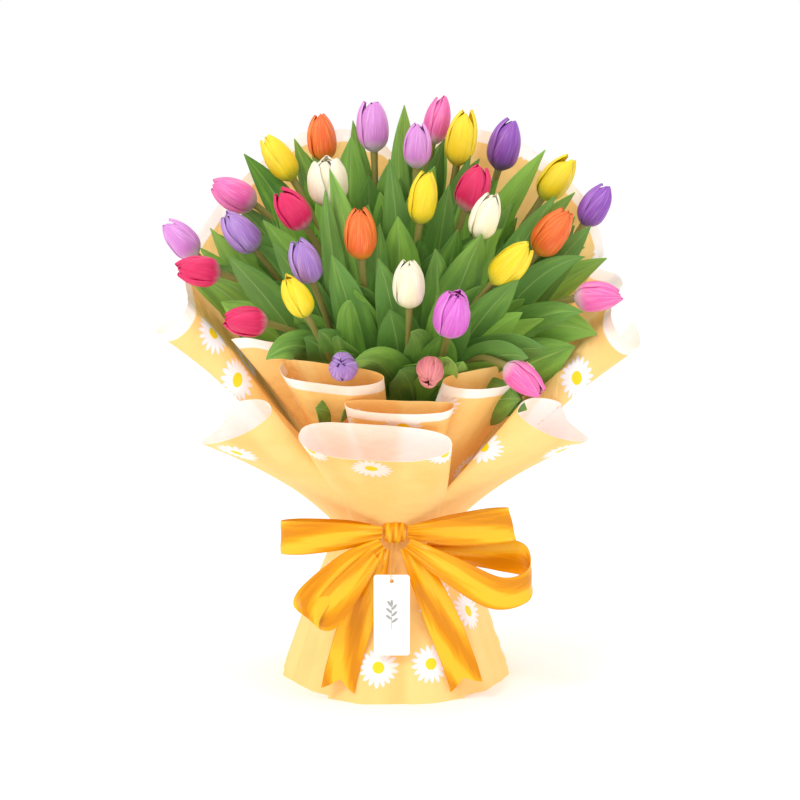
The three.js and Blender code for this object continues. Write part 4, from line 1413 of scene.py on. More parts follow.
@dataclass(frozen=True)
class Leaves:
    """The leaves of one tulip: channelled blades that leave the stem and bend to their tips.

    A blade's point at t along it and s across it is line(t) + side s h + upper c |s|^1.5 h, with
    h half the width from a table; its edges ripple, and it twists a little on its way. Its upper
    side looks in and, more, to the back, or to the front where the leaf leans back.

    Attributes:
        thickness: of a blade.
        rows: points along it.
        columns: points across it.
        fillers: more leaves for each tulip, lower and inside.
        fullness: the greatest half width, as a share of the leaf's stated width.
        girth: the half width, by the share of the length.
    """

    thickness: float = 0.7
    rows: int = 34
    columns: int = 13
    fillers: int = 4
    fullness: float = 0.67
    girth: Pairs = (
        (0, 0.2), (0.12, 0.45), (0.3, 0.76), (0.5, 0.97), (0.66, 1), (0.8, 0.86), (0.9, 0.58), (1, 0.02),
    )

    def make(self, tulip: Tulip, bundle: Bundle, path: tuple[Array, Array], material: Material) -> Piece:
        """Makes all the leaves of a tulip as one piece.

        Args:
            tulip: the tulip.
            bundle: the bundle it is in.
            path: its stem's foot and curve.
            material: its finish.

        Returns:
            The piece.
        """
        luck = np.random.default_rng(2000 + tulip.number)
        skin = Skin(f"{tulip.node}_leaves")
        lift = np.array([0, 0, bundle.waist.tie])
        chosen = [(b, np.array(tip) + lift, w, arch) for n, b, tip, w, arch in LEAVES if n == tulip.number]
        neck = path[1][-1]
        outward = unit(np.array([neck[0], neck[1] + 40, 0.0]))
        for _ in range(self.fillers):
            away = outward * luck.uniform(-22, 8)
            away = away + np.array([luck.uniform(-30, 30), luck.uniform(-10, 14), 0])
            tip = neck + away + np.array([0, 0, luck.uniform(-44, 8)])
            chosen.append((luck.uniform(0.15, 0.4), tip, luck.uniform(28, 40), luck.uniform(0.45, 0.9)))
        for base, tip, width, arch in chosen:
            self._blade(skin, path[1], (base, tip, width, arch), luck)
        return skin.make(material, tulip.node, "leaf", sharp=70)

    def _blade(
        self,
        skin: Skin,
        curve: Array,
        leaf: tuple[float, Array, float, float],
        luck: np.random.Generator,
    ) -> None:
        """Adds one blade.

        Args:
            skin: the piece that it joins.
            curve: the stem's curve.
            leaf: the blade's base, tip, width and arch.
            luck: the tulip's random numbers.
        """
        share, tip, width, arch = leaf
        low = max(share - 0.08, 0.02)
        base = bezier(curve, np.array(low))
        way = unit(bezier(curve, np.array(low + 0.02)) - base)
        control = base + way * np.linalg.norm(tip - base) * arch
        line = evened(bezier(np.array([base, control, tip]), np.linspace(0, 1, 90)), self.rows)
        along = unit(np.gradient(line, axis=0))
        back = math.copysign(1, base[1] - tip[1])
        inward = unit(0.5 * unit((base - tip) * (1, 1, 0)) + (0, back, 0))
        side = unit(np.cross(along, inward))
        upper = unit(np.cross(side, along))
        t, s = np.meshgrid(np.linspace(0, 1, self.rows), np.linspace(-1, 1, self.columns), indexing="ij")
        twist = luck.uniform(-0.5, 0.5) * t**1.5
        half = width * self.fullness * profile(self.girth, t)
        channel = mix(0.9, 0.16, smooth(0.0, 0.45, t)) + luck.uniform(-0.08, 0.12)
        height, waves, phase = luck.uniform(0.6, 1.6), luck.uniform(9, 15), luck.uniform(0, 6)
        ripple = height * np.sin(t * waves + phase + s) * np.abs(s) ** 2
        deep = channel * half * np.abs(s) ** 1.5 + ripple * smooth(0.1, 0.4, t) * half / (width / 2)
        keel = -0.5 * np.exp(-((s / 0.12) ** 2)) * (1 - t)
        x = half * s * np.sqrt(np.clip(1 - 0.35 * channel**2, 0.3, 1))
        turned_x = x * np.cos(twist) - (deep + keel) * np.sin(twist)
        turned_y = x * np.sin(twist) + (deep + keel) * np.cos(twist)
        grid = line[:, None] + turned_x[..., None] * side[:, None] + turned_y[..., None] * upper[:, None]
        flat = np.stack([s * width / 2, t * 200], axis=-1)
        skin.shell(grid, self.thickness, flat, along=t, across=s, seed=luck.random())


# ---------------------------------------------------------------- the paper wrap


@dataclass(frozen=True)
class Roll:
    """A strip beyond a sheet's first upright edge that is rolled outwards.

    Attributes:
        low: its width at the waist.
        high: its width at the rim.
        turn: in degrees.
        start: share of the way up at which the whole turn is reached.
        draw: how much its end is drawn in, as a share.
    """

    low: float
    high: float
    turn: float
    start: float = 0.3
    draw: float = 0.12


@dataclass(frozen=True)
class Sheet:
    """One sheet of the wrap.

    Attributes:
        name: of its CAD node.
        layer: sheets under it at the waist.
        waist: bearings of its upright edges at the waist.
        rim: rows of (bearing, reach, rise) along its rim.
        floor: the bearings at the floor, or None where it ends under the ribbon.
        roll: its roll, if it has one.
        outside: what its outside shows.
    """

    name: str
    layer: int
    waist: tuple[float, float]
    rim: Triples
    floor: tuple[float, float] | None = None
    roll: Roll | None = None
    outside: Face = Face.PRINT


SHEETS = [
    Sheet(
        "wrap_inner_left_rear", 0, (-72, -40),
        ((-76, 146, 170), (-66, 159, 178), (-54, 147, 182), (-44, 122, 184)),
    ),
    Sheet(
        "wrap_back_left", 3, (-88, -186),
        ((-100, 196, 256), (-108, 176, 288), (-118, 150, 331), (-133, 118, 361), (-152, 97, 358),
         (-172, 87, 350), (-190, 85, 316)),
        outside=Face.PALE,
    ),
    Sheet(
        "wrap_back_right", 4, (86, 186),
        ((97, 200, 248), (107, 192, 300), (118, 168, 328), (132, 126, 364), (150, 101, 356),
         (172, 92, 346), (190, 90, 312)),
        outside=Face.PALE,
    ),
    Sheet(
        "wrap_left", 5, (-44, -188),
        ((-80, 196, 214), (-100, 198, 236), (-122, 166, 240), (-150, 122, 226), (-190, 108, 200)),
        floor=(-28, -188), roll=Roll(8, 100, 250),
    ),
    Sheet(
        "wrap_right", 6, (44, 188),
        ((80, 206, 202), (98, 210, 228), (122, 180, 242), (150, 132, 228), (190, 116, 202)),
        floor=(28, 188), roll=Roll(8, 100, 250),
    ),
    Sheet(
        "wrap_front", 8, (-42, 40), ((-28, 180, 88), (-14, 184, 96), (1, 184, 96), (14, 178, 86)),
        floor=(-32, 34),
    ),
]


@dataclass(frozen=True)
class Cornet:
    """A sheet that is folded round into a flattened cone, open at its top.

    Attributes:
        name: of its CAD node.
        layer: sheets under it at the waist.
        bound: its middle's bearing and its half width at the waist.
        mouth: the middle of its open end, as (bearing, reach, rise).
        half: the half width and half depth of the open end.
        lip: how much lower the outer lip is than the middle.
        slant: how much higher the end of greater bearing is than the middle.
        pinch: how much the open end is drawn together at its middle, from 0 to 1.
        banded: whether its outer lip shows the pale border and its inside the print.
    """

    name: str
    layer: int
    bound: tuple[float, float]
    mouth: tuple[float, float, float]
    half: tuple[float, float]
    lip: float
    slant: float = 0
    pinch: float = 0
    banded: bool = False


CORNETS = [
    Cornet("wrap_inner_left", 1, (-30, 20), (-27, 140, 157), (56, 15), 8, -3, 0.4, banded=True),
    Cornet("wrap_inner_right", 1, (40, 20), (43, 139, 152), (58, 15), 8, 3, 0.3, banded=True),
    Cornet("wrap_inner_front", 2, (1, 20), (2, 150, 131), (52, 11), 5, -1, 0.3, banded=True),
    Cornet("wrap_collar_left", 7, (-50, 40), (-57, 174, 108), (50, 25), 18, 13, 0.1),
    Cornet("wrap_collar_right", 7, (50, 40), (57, 174, 110), (50, 25), 18, -11, 0.1),
    Cornet("wrap_front", 8, (-1, 42), (-7, 162, 102), (74, 21), 14, -3, 0.35),
]


@dataclass(frozen=True)
class Creases:
    """Creases that all the layers share, so that no sheet pushes through its neighbour.

    The paper moves in or out by a zigzag of the bearing whose size grows away from the waist,
    plus a fine zigzag of pleats close to it.

    Attributes:
        depth: of the creases at the rim.
        skirt_depth: of those at the floor.
        pleat: depth of the pleats.
        pleats: how many there are round the waist.
        ruffle: height of the waves along a free rim.
        seed: of the random zigzag.
    """

    depth: float = 5.4
    skirt_depth: float = 3.4
    pleat: float = 0.8
    pleats: int = 58
    ruffle: float = 4.5
    seed: int = 12

    def _zigzag(self, bearing: Array, seed: int, step: float) -> Array:
        """Reads a random zigzag round the whole circle.

        Args:
            bearing: where it is read, in degrees.
            seed: of its random numbers.
            step: degrees from a corner to the next, on average.

        Returns:
            Numbers between -1 and 1.
        """
        luck = np.random.default_rng(seed)
        count = int(360 / step)
        knots = (np.arange(count) + luck.uniform(-0.36, 0.36, count)) * step
        heights = luck.uniform(0.35, 1, count) * np.where(np.arange(count) % 2, 1, -1)
        return np.interp(bearing, knots, heights, period=360)

    def at(self, points: Array, tie: float) -> Array:
        """Tells how far the paper moves out at each point.

        Args:
            points: places on the sheet.
            tie: height of the binding.

        Returns:
            The distances, in millimetres.
        """
        bearing = np.degrees(np.arctan2(points[..., 0], -points[..., 1])) % 360
        rise = points[..., 2] - tie
        up, down = smooth(6, 150, rise), smooth(6, 120, -rise)
        drift = bearing + rise * 0.02
        wide = self._zigzag(drift, self.seed, 14) * 0.7 + self._zigzag(drift, self.seed + 1, 6.3) * 0.3
        skirt = self._zigzag(bearing, self.seed + 2, 15) * 0.75
        skirt = skirt + self._zigzag(bearing, self.seed + 3, 7) * 0.25
        pleat = self._zigzag(bearing, self.seed + 4, 360 / self.pleats)
        near = np.exp(-((rise / 34) ** 2))
        return wide * up * self.depth + skirt * down * self.skirt_depth + pleat * near * self.pleat

    def lift(self, points: Array, layer: int, share: Array) -> Array:
        """Tells how far a rim is lifted: two sines of the bearing that fade below the rim.

        Args:
            points: places on the sheet.
            layer: the sheet's layer, which shifts the waves.
            share: how far up the sheet each point is, 1 at the rim.

        Returns:
            The heights, in millimetres.
        """
        bearing = np.arctan2(points[..., 0], -points[..., 1])
        waves = 0.6 * np.sin(9 * bearing + 2.1 * layer) + 0.4 * np.sin(17 * bearing + 0.9 * layer)
        return self.ruffle * waves * smooth(0.35, 1, share)


@dataclass(frozen=True)
class Wrap:
    """The paper wrap.

    Attributes:
        waist: places from the frame.
        thickness: of the paper.
        columns: points across a quarter turn.
        rows: points up a sheet's skirt, its neck and its upper part.
        roll_columns: points across a roll.
        creases: what all the sheets share.
        cornet_size: points up a cornet and round it.
        cornet_turn: angles at which a cornet's section starts and ends, in degrees.
        seam: flatness of the half of a cornet that faces the bunch, as a share.
    """

    waist: Waist
    thickness: float = 0.35
    columns: int = 74
    rows: tuple[int, int, int] = (34, 7, 54)
    roll_columns: int = 34
    creases: Creases = Creases()
    cornet_size: tuple[int, int] = (70, 190)
    cornet_turn: tuple[float, float] = (-95, 268)
    seam: float = 0.35

    def _flat_point(self, sheet: Sheet, u: Array, v: Array) -> Array:
        """Places a sheet without its roll.

        Above the waist the bearing, reach and height run from the neck's to the rim's; below it
        the reach grows as the 0.85th power of the way down.

        Args:
            sheet: the sheet.
            u: shares from its first edge to its second.
            v: -1 at the floor, 0 at the top of the straight neck, 1 at the rim.

        Returns:
            The points.
        """
        tie, neck_top = self.waist.tie, self.waist.tie + NECK_HALF_HEIGHT
        neck_reach = self.waist.reach + PAPER_PITCH * sheet.layer
        neck_bearing = mix(*sheet.waist, u)
        rim = between(sheet.rim, u)
        up = np.clip(v, 0, 1)
        above = polar(
            mix(neck_bearing, rim[..., 0], up**0.8),
            mix(neck_reach, rim[..., 1], up),
            mix(neck_top, tie + rim[..., 2], up * (1 + SHEET_BULGE * (1 - up))),
        )
        down = np.clip(-v / NECK_SHARE, 0, 1)
        spread = np.clip((-v - NECK_SHARE) / (1 - NECK_SHARE), 0, 1)
        height = mix(neck_top - 2 * NECK_HALF_HEIGHT * down, 0, spread)
        reach = skirt_reach(self.waist, sheet.layer, height)
        bearing = mix(neck_bearing, mix(*(sheet.floor or sheet.waist), u), spread)
        below = polar(bearing, np.where(spread > 0, reach, neck_reach), height)
        return np.where((v > 0)[..., None], above, below)

    def _rolled(self, sheet: Sheet, roll: Roll, v: Array) -> tuple[Array, Array]:
        """Makes the strip beyond a sheet's first edge, as arcs of radius width / turn.

        Args:
            sheet: the sheet.
            roll: its roll.
            v: the rows of the sheet.

        Returns:
            The strip's points, by distance from the edge and then along it, and the edge itself.
        """
        step = 0.01
        u = np.zeros_like(v)
        rise = np.clip(v, 0, 1)
        width = mix(roll.low, roll.high, rise**1.3)
        turn = np.maximum(math.radians(roll.turn) * smooth(0, roll.start, rise), 0.02)
        here = self._flat_point(sheet, u, v)
        away = here - self._flat_point(sheet, u + step, v)
        aside = self._flat_point(sheet, u, np.minimum(v + step, 1)) - self._flat_point(sheet, u, v - step)
        outward = unit(np.cross(away, aside))
        outward *= np.sign(np.sum(outward[:, :2] * here[:, :2], axis=-1, keepdims=True))
        away = unit(away)
        radius = width / turn
        distance = np.linspace(0, 1, self.roll_columns)[1:, None] * width
        angle = distance / radius
        shrink = 1 - roll.draw * distance / width
        strip = here + (radius * np.sin(angle) * shrink)[..., None] * away
        strip = strip + (radius * (1 - np.cos(angle)) * shrink)[..., None] * outward
        return strip, here

    def _count(self, sheet: Sheet) -> int:
        """Chooses how many points a sheet has across."""
        return max(30, int(abs(sheet.waist[1] - sheet.waist[0]) / 90 * self.columns))

    def _add(
        self,
        skin: Skin,
        grid: Array,
        moved: Array,
        fields: dict[str, Array],
        shift: tuple[float, float],
        middle: tuple[int, int],
    ) -> None:
        """Adds a grid of paper to a piece, turned so that its normals look away from the bunch.

        Its flat coordinates are the lengths from its middle column and up each column.

        Args:
            skin: the piece.
            grid: the points.
            moved: how far the creases moved each point out.
            fields: a number for each point, by attribute name.
            shift: what is added to the flat coordinates, so that each sheet's print differs.
            middle: row and column of a point well inside the sheet.
        """
        across = arc_lengths(grid, 1)
        across = across - across[:, across.shape[1] // 2, None]
        flat = np.stack([across + shift[0], arc_lengths(grid, 0) + shift[1]], axis=-1)
        # Painted shade: a mask that grows where the creases moved the paper in, read by the paper's finish to
        # darken it.
        fields = {**fields, "painted_crease_shade": smooth(-0.2, -2.6, moved)}
        if grid_normals(grid)[middle] @ unit(grid * (1, 1, 0))[middle] < 0:
            grid, flat = grid[:, ::-1], flat[:, ::-1]
            fields = {name: value[:, ::-1] for name, value in fields.items()}
        skin.shell(grid, self.thickness, flat, **fields)

    def cornet(self, cornet: Cornet, material: Material) -> Piece:
        """Makes one cornet, and the skirt below it where its sheet reaches the floor.

        Its section is an ellipse round a middle line that runs from the waist to the mouth. The
        half that faces the bunch is flatter, and the mouth's rim drops to the outer lip.

        Args:
            cornet: the cornet.
            material: its finish.

        Returns:
            The piece.
        """
        rows, columns = self.cornet_size
        around = np.linspace(*self.cornet_turn, columns)
        v, a = np.meshgrid(np.linspace(0, 1, rows), around, indexing="ij")
        tie = self.waist.tie
        bearing = mix(cornet.bound[0], cornet.mouth[0], v**0.8)
        near = self.waist.reach + PAPER_PITCH * cornet.layer + 0.3
        reach = mix(near, cornet.mouth[1], v)
        height = mix(tie - NECK_HALF_HEIGHT, tie + cornet.mouth[2], v * (1 + SHEET_BULGE * (1 - v)))
        wide = mix(cornet.bound[1], cornet.half[0], v**0.8)
        deep = mix(0.6, cornet.half[1], smooth(0.02, 1.1, v) ** 0.9)
        cosine, sine = np.cos(np.radians(a)), np.sin(np.radians(a))
        aside = np.sign(cosine) * np.abs(cosine) ** 0.85 * wide
        deep = deep * (1 - cornet.pinch * (1 - np.abs(cosine)) ** 2 * v)
        out = np.where(sine > 0, sine, self.seam * sine) * deep
        out = out - np.abs(aside / wide) ** 2 * wide * 0.12 * v
        height = height + v**2 * (cornet.slant * aside / wide - cornet.lip * sine)
        grid = polar(bearing + np.degrees(aside / reach), reach + out, height)
        moved = self.creases.at(grid, tie)
        grid = grid + (moved * mix(1.0, 0.6, v))[..., None] * unit(grid * (1, 1, 0))
        upward = arc_lengths(grid, 0)
        banded = (sine > 0) & cornet.banded
        fields = {
            "rim": np.where(banded, upward[-1] - upward, NO_RIM),
            "rolled": np.zeros_like(v),
        }
        skin = Skin(f"{cornet.name}_paper")
        self._add(skin, grid, moved, fields, (61 * cornet.layer, 40), (rows // 2, columns // 2))
        for sheet in SHEETS:
            if sheet.name == cornet.name:
                self._lay(sheet, skin, top=0.0)
        return skin.make(material, cornet.name, "wrapping_paper", sharp=24)

    def make(self, sheet: Sheet, material: Material) -> Piece:
        """Makes one sheet as a piece of its own.

        Args:
            sheet: the sheet.
            material: its finish.

        Returns:
            The piece.
        """
        skin = Skin(f"{sheet.name}_paper")
        self._lay(sheet, skin, top=1.0)
        return skin.make(material, sheet.name, "wrapping_paper", sharp=24)

    def _lay(self, sheet: Sheet, skin: Skin, top: float) -> None:
        """Adds one sheet with its roll.

        Args:
            sheet: the sheet.
            skin: the piece that it joins.
            top: how far up the sheet goes, 0 for the top of the neck and 1 for the rim.
        """
        skirt_rows, neck_rows, upper_rows = self.rows
        parts = [np.linspace(-NECK_SHARE, 0, neck_rows)]
        if sheet.floor:
            parts.insert(0, np.linspace(-1, -NECK_SHARE, skirt_rows)[:-1])
        if top > 0:
            parts.append(np.linspace(0, top, upper_rows)[1:])
        v = np.concatenate(parts)
        u = np.linspace(0, 1, self._count(sheet))
        uu, vv = np.meshgrid(u, v)
        grid = self._flat_point(sheet, uu, vv)
        anchor, rolled = grid, np.zeros_like(uu)
        if sheet.roll:
            strip, edge = self._rolled(sheet, sheet.roll, v)
            strip = np.swapaxes(strip, 0, 1)[:, ::-1]
            hold = np.broadcast_to(edge[:, None], strip.shape)
            mask = np.broadcast_to(smooth(0.02, sheet.roll.start, v)[:, None], strip.shape[:2])
            pairs = (strip, grid), (hold, anchor), (mask, rolled)
            grid, anchor, rolled = (np.concatenate(pair, axis=1) for pair in pairs)
        moved = self.creases.at(anchor, self.waist.tie)
        grid = grid + moved[..., None] * unit(anchor * (1, 1, 0))
        grid[..., 2] += self.creases.lift(anchor, sheet.layer, v[:, None])
        upward = arc_lengths(grid, 0)
        fields = {"rim": upward[-1] - upward, "rolled": rolled}
        shift = (17 * sheet.layer, 29 * sheet.layer)
        self._add(skin, grid, moved, fields, shift, (len(v) // 2, len(u) // 2))


# ---------------------------------------------------------------- ribbon, tag and twine


LOOPS = {
    "bow_loop_upper_left": (
        (-12, 9, 1, 0, 0.4), (-45, 22, 1, 2, 0.8), (-84, 29, 1, 2, 1), (-103, 21, 0, 0, 1),
        (-84, 13, 0, 0, 1), (-45, 9, 1, 0, 0.8), (-22, 6, 1, 0, 0.5),
    ),
    "bow_loop_upper_right": (
        (12, 9, 2, 0, 0.4), (48, 26, 6, 8, 0.8), (88, 37, 13, 12, 1), (108, 30, 15, 14, 1),
        (88, 21, 12, 12, 1), (50, 13, 6, 8, 0.8), (24, 8, 3, 0, 0.5),
    ),
    "bow_loop_lower_left": (
        (-12, 12, -9, 35, 0.4), (-40, 27, -24, 40, 0.8), (-72, 45, -50, 45, 1), (-80, 54, -64, 48, 1),
        (-67, 49, -69, 48, 1), (-45, 41, -46, 42, 0.9), (-18, 23, -16, 38, 0.5),
    ),
    "bow_loop_lower_right": (
        (12, 15, -8, -30, 0.4), (48, 35, -25, -32, 0.8), (92, 53, -44, -20, 1), (122, 47, -38, 0, 1),
        (122, 28, -22, 4, 1), (96, 14, -18, -8, 1), (54, 6, -17, -20, 0.7), (28, 2, -16, -25, 0.4),
    ),
}
TAILS = {
    "ribbon_tail_left": (
        ((-10, 10.5, -13, -20, 0.4), (-20, 23.5, -41, -18, 0.8)),
        ((-34, 14, -76, -14, 1), (-47, 12, -118, -12, 1), (-52, 12, -140, -10, 1)),
    ),
    "ribbon_tail_right": (
        ((11, 10.5, -12, 24, 0.4), (27, 22.5, -40, 26, 0.8)),
        ((44, 17, -78, 24, 1), (60, 17, -118, 22, 1), (66, 17, -138, 20, 1)),
    ),
}


@dataclass(frozen=True)
class Ribbon:
    """The satin ribbon: the bow's loops and tails, its knot, and the band round the waist.

    Attributes:
        waist: places from the frame.
        material: the satin.
        width: of the ribbon.
        thickness: of the ribbon.
        notch: depth of the swallowtail cut.
        rows: points along a strip.
        columns: points across it.
        belly: how far a strip bulges along its middle.
        pleat: depth of the folds where it is gathered.
        knot_half: the knot's half width, half depth and half height.
        fullness: how much wider the band's cloth is than its height.
    """

    waist: Waist
    material: Material
    width: float = 31
    thickness: float = 0.5
    notch: float = 20
    rows: int = 90
    columns: int = 25
    belly: float = 1.6
    pleat: float = 1.5
    knot_half: tuple[float, float, float] = (11.5, 9.6, 10.8)
    fullness: float = 1.3

    def _strip(self, name: str, stations: Array, notch: float) -> Piece:
        """Makes one strip of ribbon about a middle line.

        The strip's point is line(v) + across (u - 1/2) w share, moved along the normal by its
        belly and by folds that fade as share nears 1.

        Args:
            name: the CAD node.
            stations: rows of (x, y, z, turn, share).
            notch: share of the length that the cut at its end takes.

        Returns:
            The piece.
        """
        v, u = np.meshgrid(np.linspace(0, 1, self.rows), np.linspace(0, 1, self.columns), indexing="ij")
        way = v * (1 - notch * (1 - np.abs(2 * u - 1)))
        values = between(stations, way)
        turn = np.radians(values[..., 3])
        share = values[..., 4]
        across = np.stack([-np.sin(turn), np.zeros_like(turn), np.cos(turn)], axis=-1)
        grid = values[..., :3] + across * ((u - 0.5) * self.width * share)[..., None]
        normal = grid_normals(grid)
        s = 2 * u - 1
        gathered = np.clip(1 - share, 0, 1)
        gathers, swells = np.sin(s * 8.5 + 1), np.sin(s * 3 + way * 9)
        folds = self.pleat * gathered * gathers + 0.9 * swells * share
        grid = grid + normal * (folds + self.belly * share * (1 - s**2))[..., None]
        # Painted highlight and shade: a mask that is high on the folds' tops and low in their hollows, for
        # the satin's colour.
        crest = 0.5 + 0.5 * mix(swells, gathers, gathered)
        length = float(arc_lengths(grid, 0)[-1, 0])
        flat = np.stack([(u - 0.5) * self.width, way * length], axis=-1)
        skin = Skin(f"{name}_satin")
        skin.shell(grid, self.thickness, flat, hem=np.abs(s), crest=crest)
        piece = skin.make(self.material, name, "satin_ribbon", sharp=70)
        area = float(np.mean(share)) * self.width * length * (1 - notch / 2)
        self.width * MM
        area * MM * MM
        return piece

    def loop(self, name: str) -> Piece:
        """Makes one loop of the bow."""
        stations = [[*from_knot(self.waist, *s[:3]), *s[3:]] for s in LOOPS[name]]
        return self._strip(name, np.array(stations), 0)

    def tail(self, name: str) -> Piece:
        """Makes one tail, which hangs with its width across.

        Args:
            name: the CAD node.

        Returns:
            The piece.
        """
        knot_end, hanging = TAILS[name]
        stations = [[*from_knot(self.waist, *s[:3]), s[3] + 90, s[4]] for s in knot_end]
        stations += [[*before_skirt(self.waist, *s[:3]), s[3] + 90, s[4]] for s in hanging]
        line = between(np.array(stations), np.linspace(0, 1, 60))[:, :3]
        length = float(arc_lengths(line[None], 1)[0, -1])
        return self._strip(name, np.array(stations), self.notch / length)

    def knot(self) -> Piece:
        """Makes the knot: ribbon drawn over the bow, with soft folds across it.

        Its section is an ellipse of 1 - 0.5 x^4 times its half depth and half height, with x from
        -1 to 1, and two sines of 5 and 3 per cent make folds that run round it.

        Returns:
            The piece.
        """
        around = np.linspace(0, 2 * np.pi, 48, endpoint=False)
        x, a = np.meshgrid(np.linspace(-1, 1, 41), around, indexing="ij")
        folds = 1 + 0.05 * np.sin(x * 10 + np.sin(a) * 1.2) + 0.03 * np.sin(x * 17 + a * 2)
        reach = (1 - 0.5 * np.abs(x) ** 4) * folds
        offset = np.stack([x, reach * np.cos(a), reach * np.sin(a)], axis=-1) * self.knot_half
        skin = Skin("bow_knot_satin")
        flat = np.stack([x * 10, a * 10], axis=-1)
        # The knot's folds also carry the painted highlight and shade mask.
        skin.tube(self.waist.knot + offset, flat, hem=np.zeros_like(x), crest=0.5 + (folds - 1) * 6)
        return skin.make(self.material, "bow_knot", "satin_ribbon", sharp=70)

    def band(self, height: float = 13) -> Piece:
        """Makes the gathered band round the waist, with folds that run round it.

        Args:
            height: of the band.

        Returns:
            The piece.
        """
        angles = np.linspace(0, 360, 240, endpoint=False)
        h, b = np.meshgrid(np.linspace(-0.5, 0.5, 31), angles, indexing="ij")
        folds = 0.7 * np.sin(h * 22 + 1.4 * np.sin(np.radians(b * 2)))
        folds = folds + 0.25 * np.sin(h * 41 + np.radians(b * 5))
        reach = self.waist.band - 0.1 + folds * 0.8
        grid = polar(b, reach, self.waist.tie + h * height)
        flat = np.stack([h * self.width, b * np.radians(self.waist.band)], axis=-1)
        skin = Skin("ribbon_band_satin")
        # The band's folds also carry the painted highlight and shade mask.
        skin.shell(grid, self.thickness, flat, closed=True, hem=np.abs(2 * h), crest=0.5 + folds * 0.5)
        piece = skin.make(self.material, "ribbon_band", "satin_ribbon", sharp=70)
        round_it = 2 * math.pi * self.waist.band
        self.width * MM
        round_it * MM
        height * self.fullness * round_it * MM * MM
        return piece


@dataclass(frozen=True)
class Tag:
    """The card tag and the thread that it hangs by.

    Attributes:
        waist: places from the frame.
        x: of the tag's middle.
        rise: of the tag's middle.
        gap: from its lower edge to the skirt.
        height: of the tag.
        hole_inset: from its top edge to the middle of its hole.
        thread: diameter of the thread.
        down: points of the strand that goes down, from the knot's middle.
        hole: points through the tag, from the middle of its hole.
        up: points of the strand that comes back, from the knot's middle.
    """

    waist: Waist
    x: float = -2.5
    rise: float = -69
    gap: float = 9
    height: float = 76
    hole_inset: float = 6
    thread: float = 0.9
    down: Triples = ((-2.3, 7.2, -8), (-2.6, 12, -12.5), (-3.4, 30, -23))
    hole: Triples = (
        (-0.9, 2, 7), (-0.4, 3, 2), (0, 0, 0.2), (0.4, -3, 2), (1.3, -5, 8),
    )
    up: Triples = ((1.2, 24, -20), (2, 12, -12.5), (2, 7.2, -8))

    def _route(self) -> Array:
        """Lists the points that the thread goes through, from the knot and back to it.

        Returns:
            The points.
        """
        lower = before_skirt(self.waist, self.x, self.gap, self.rise - self.height / 2)
        middle = lower + np.array([0, 0, self.height - self.hole_inset])
        at_hole = [middle + np.array([x, -forward, rise]) for x, forward, rise in self.hole]
        down = [from_knot(self.waist, *point) for point in self.down]
        return np.array([*down, *at_hole, *(from_knot(self.waist, *point) for point in self.up)])

    @staticmethod
    def _centripetal(points: Array, count: int) -> Array:
        """Draws a centripetal Catmull-Rom spline through points by the pyramid of lines.

        Args:
            points: the points.
            count: samples in each span.

        Returns:
            The line.
        """
        padded = np.concatenate([2 * points[:1] - points[1:2], points, 2 * points[-1:] - points[-2:-1]])
        spans = []
        for k in range(len(points) - 1):
            p = padded[k : k + 4]
            knots = np.concatenate([[0], np.cumsum(np.linalg.norm(np.diff(p, axis=0), axis=1) ** 0.5)])
            t = np.linspace(knots[1], knots[2], count, endpoint=False)[:, None]

            def line(i: int, j: int, a: Array, b: Array) -> Array:
                """Mixes two lines over the knots i to j."""
                return (a * (knots[j] - t) + b * (t - knots[i])) / (knots[j] - knots[i])

            first = [line(i, i + 1, p[i], p[i + 1]) for i in range(3)]
            second = [line(i, i + 2, first[i], first[i + 1]) for i in range(2)]
            spans.append(line(1, 2, second[0], second[1]))
        return np.concatenate([*spans, points[-1:]])

    def make_thread(self, material: Material) -> Piece:
        """Its section has two lobes, with the radius r (0.82 + 0.18 |cos(a - twist)|).

        Args:
            material: its finish.

        Returns:
            The piece.
        """
        line = evened(self._centripetal(self._route(), 14), 150)
        length = float(arc_lengths(line[None], 1)[0, -1])
        sides = 12
        along = np.linspace(0, length, len(line))[:, None]
        angle = np.linspace(0, 2 * np.pi, sides, endpoint=False)[None]
        radius = self.thread / 2 * (0.82 + 0.18 * np.abs(np.cos(angle - along * 2.2)))
        rings = tube_rings(line, radius, sides)
        flat = np.stack(np.broadcast_arrays(angle * self.thread, along + 0 * angle), axis=-1)
        skin = Skin("tag_string_thread")
        skin.tube(rings, flat)
        piece = skin.make(material, "tag_string", "tag_thread")
        self.thread * MM
        return piece

    def finish_card(self, frame: dict) -> Piece:
        """Gives the CAD tag its card finish.

        Args:
            frame: the loaded frame.

        Returns:
            The CAD object.
        """
        card = frame["nodes"]["tag"]
        low, high = np.array(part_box("tag")) / MM
        centre = ((low[0] + high[0]) / 2, (low[2] + high[2]) / 2)
        card.data.materials.clear()
        card.data.materials.append(CardFinish(centre=centre).make("tag_card"))
        return card


@dataclass(frozen=True)
class Twine:
    """The jute twine that binds the stems, three plies twisted together.

    Attributes:
        waist: places from the frame.
        diameter: of the twine.
        twists: whole turns of the plies round the ring.
    """

    waist: Waist
    diameter: float = 2.6
    twists: int = 16

    def make(self, material: Material) -> Piece:
        """Makes the ring, whose section has the radius r (0.8 + 0.2 |cos 1.5 (a - twist)|).

        Args:
            material: its finish.

        Returns:
            The piece.
        """
        middle = self.waist.reach - PAPER_GAP - self.diameter / 2
        b, a = np.meshgrid(np.arange(0, 360, 1.5), np.linspace(0, 360, 15, endpoint=False), indexing="ij")
        lobes = np.abs(np.cos(np.radians(1.5 * (a - b * self.twists))))
        radius = self.diameter / 2 * (0.8 + 0.2 * lobes)
        around = np.radians(a)
        grid = polar(b, middle + radius * np.cos(around), self.waist.tie + radius * np.sin(around))
        skin = Skin("binding_twine_jute")
        skin.torus(grid, np.stack([a * 0.02, b * 0.6], axis=-1))
        return skin.make(material, "binding_twine", "twine")


# ---------------------------------------------------------------- the studio


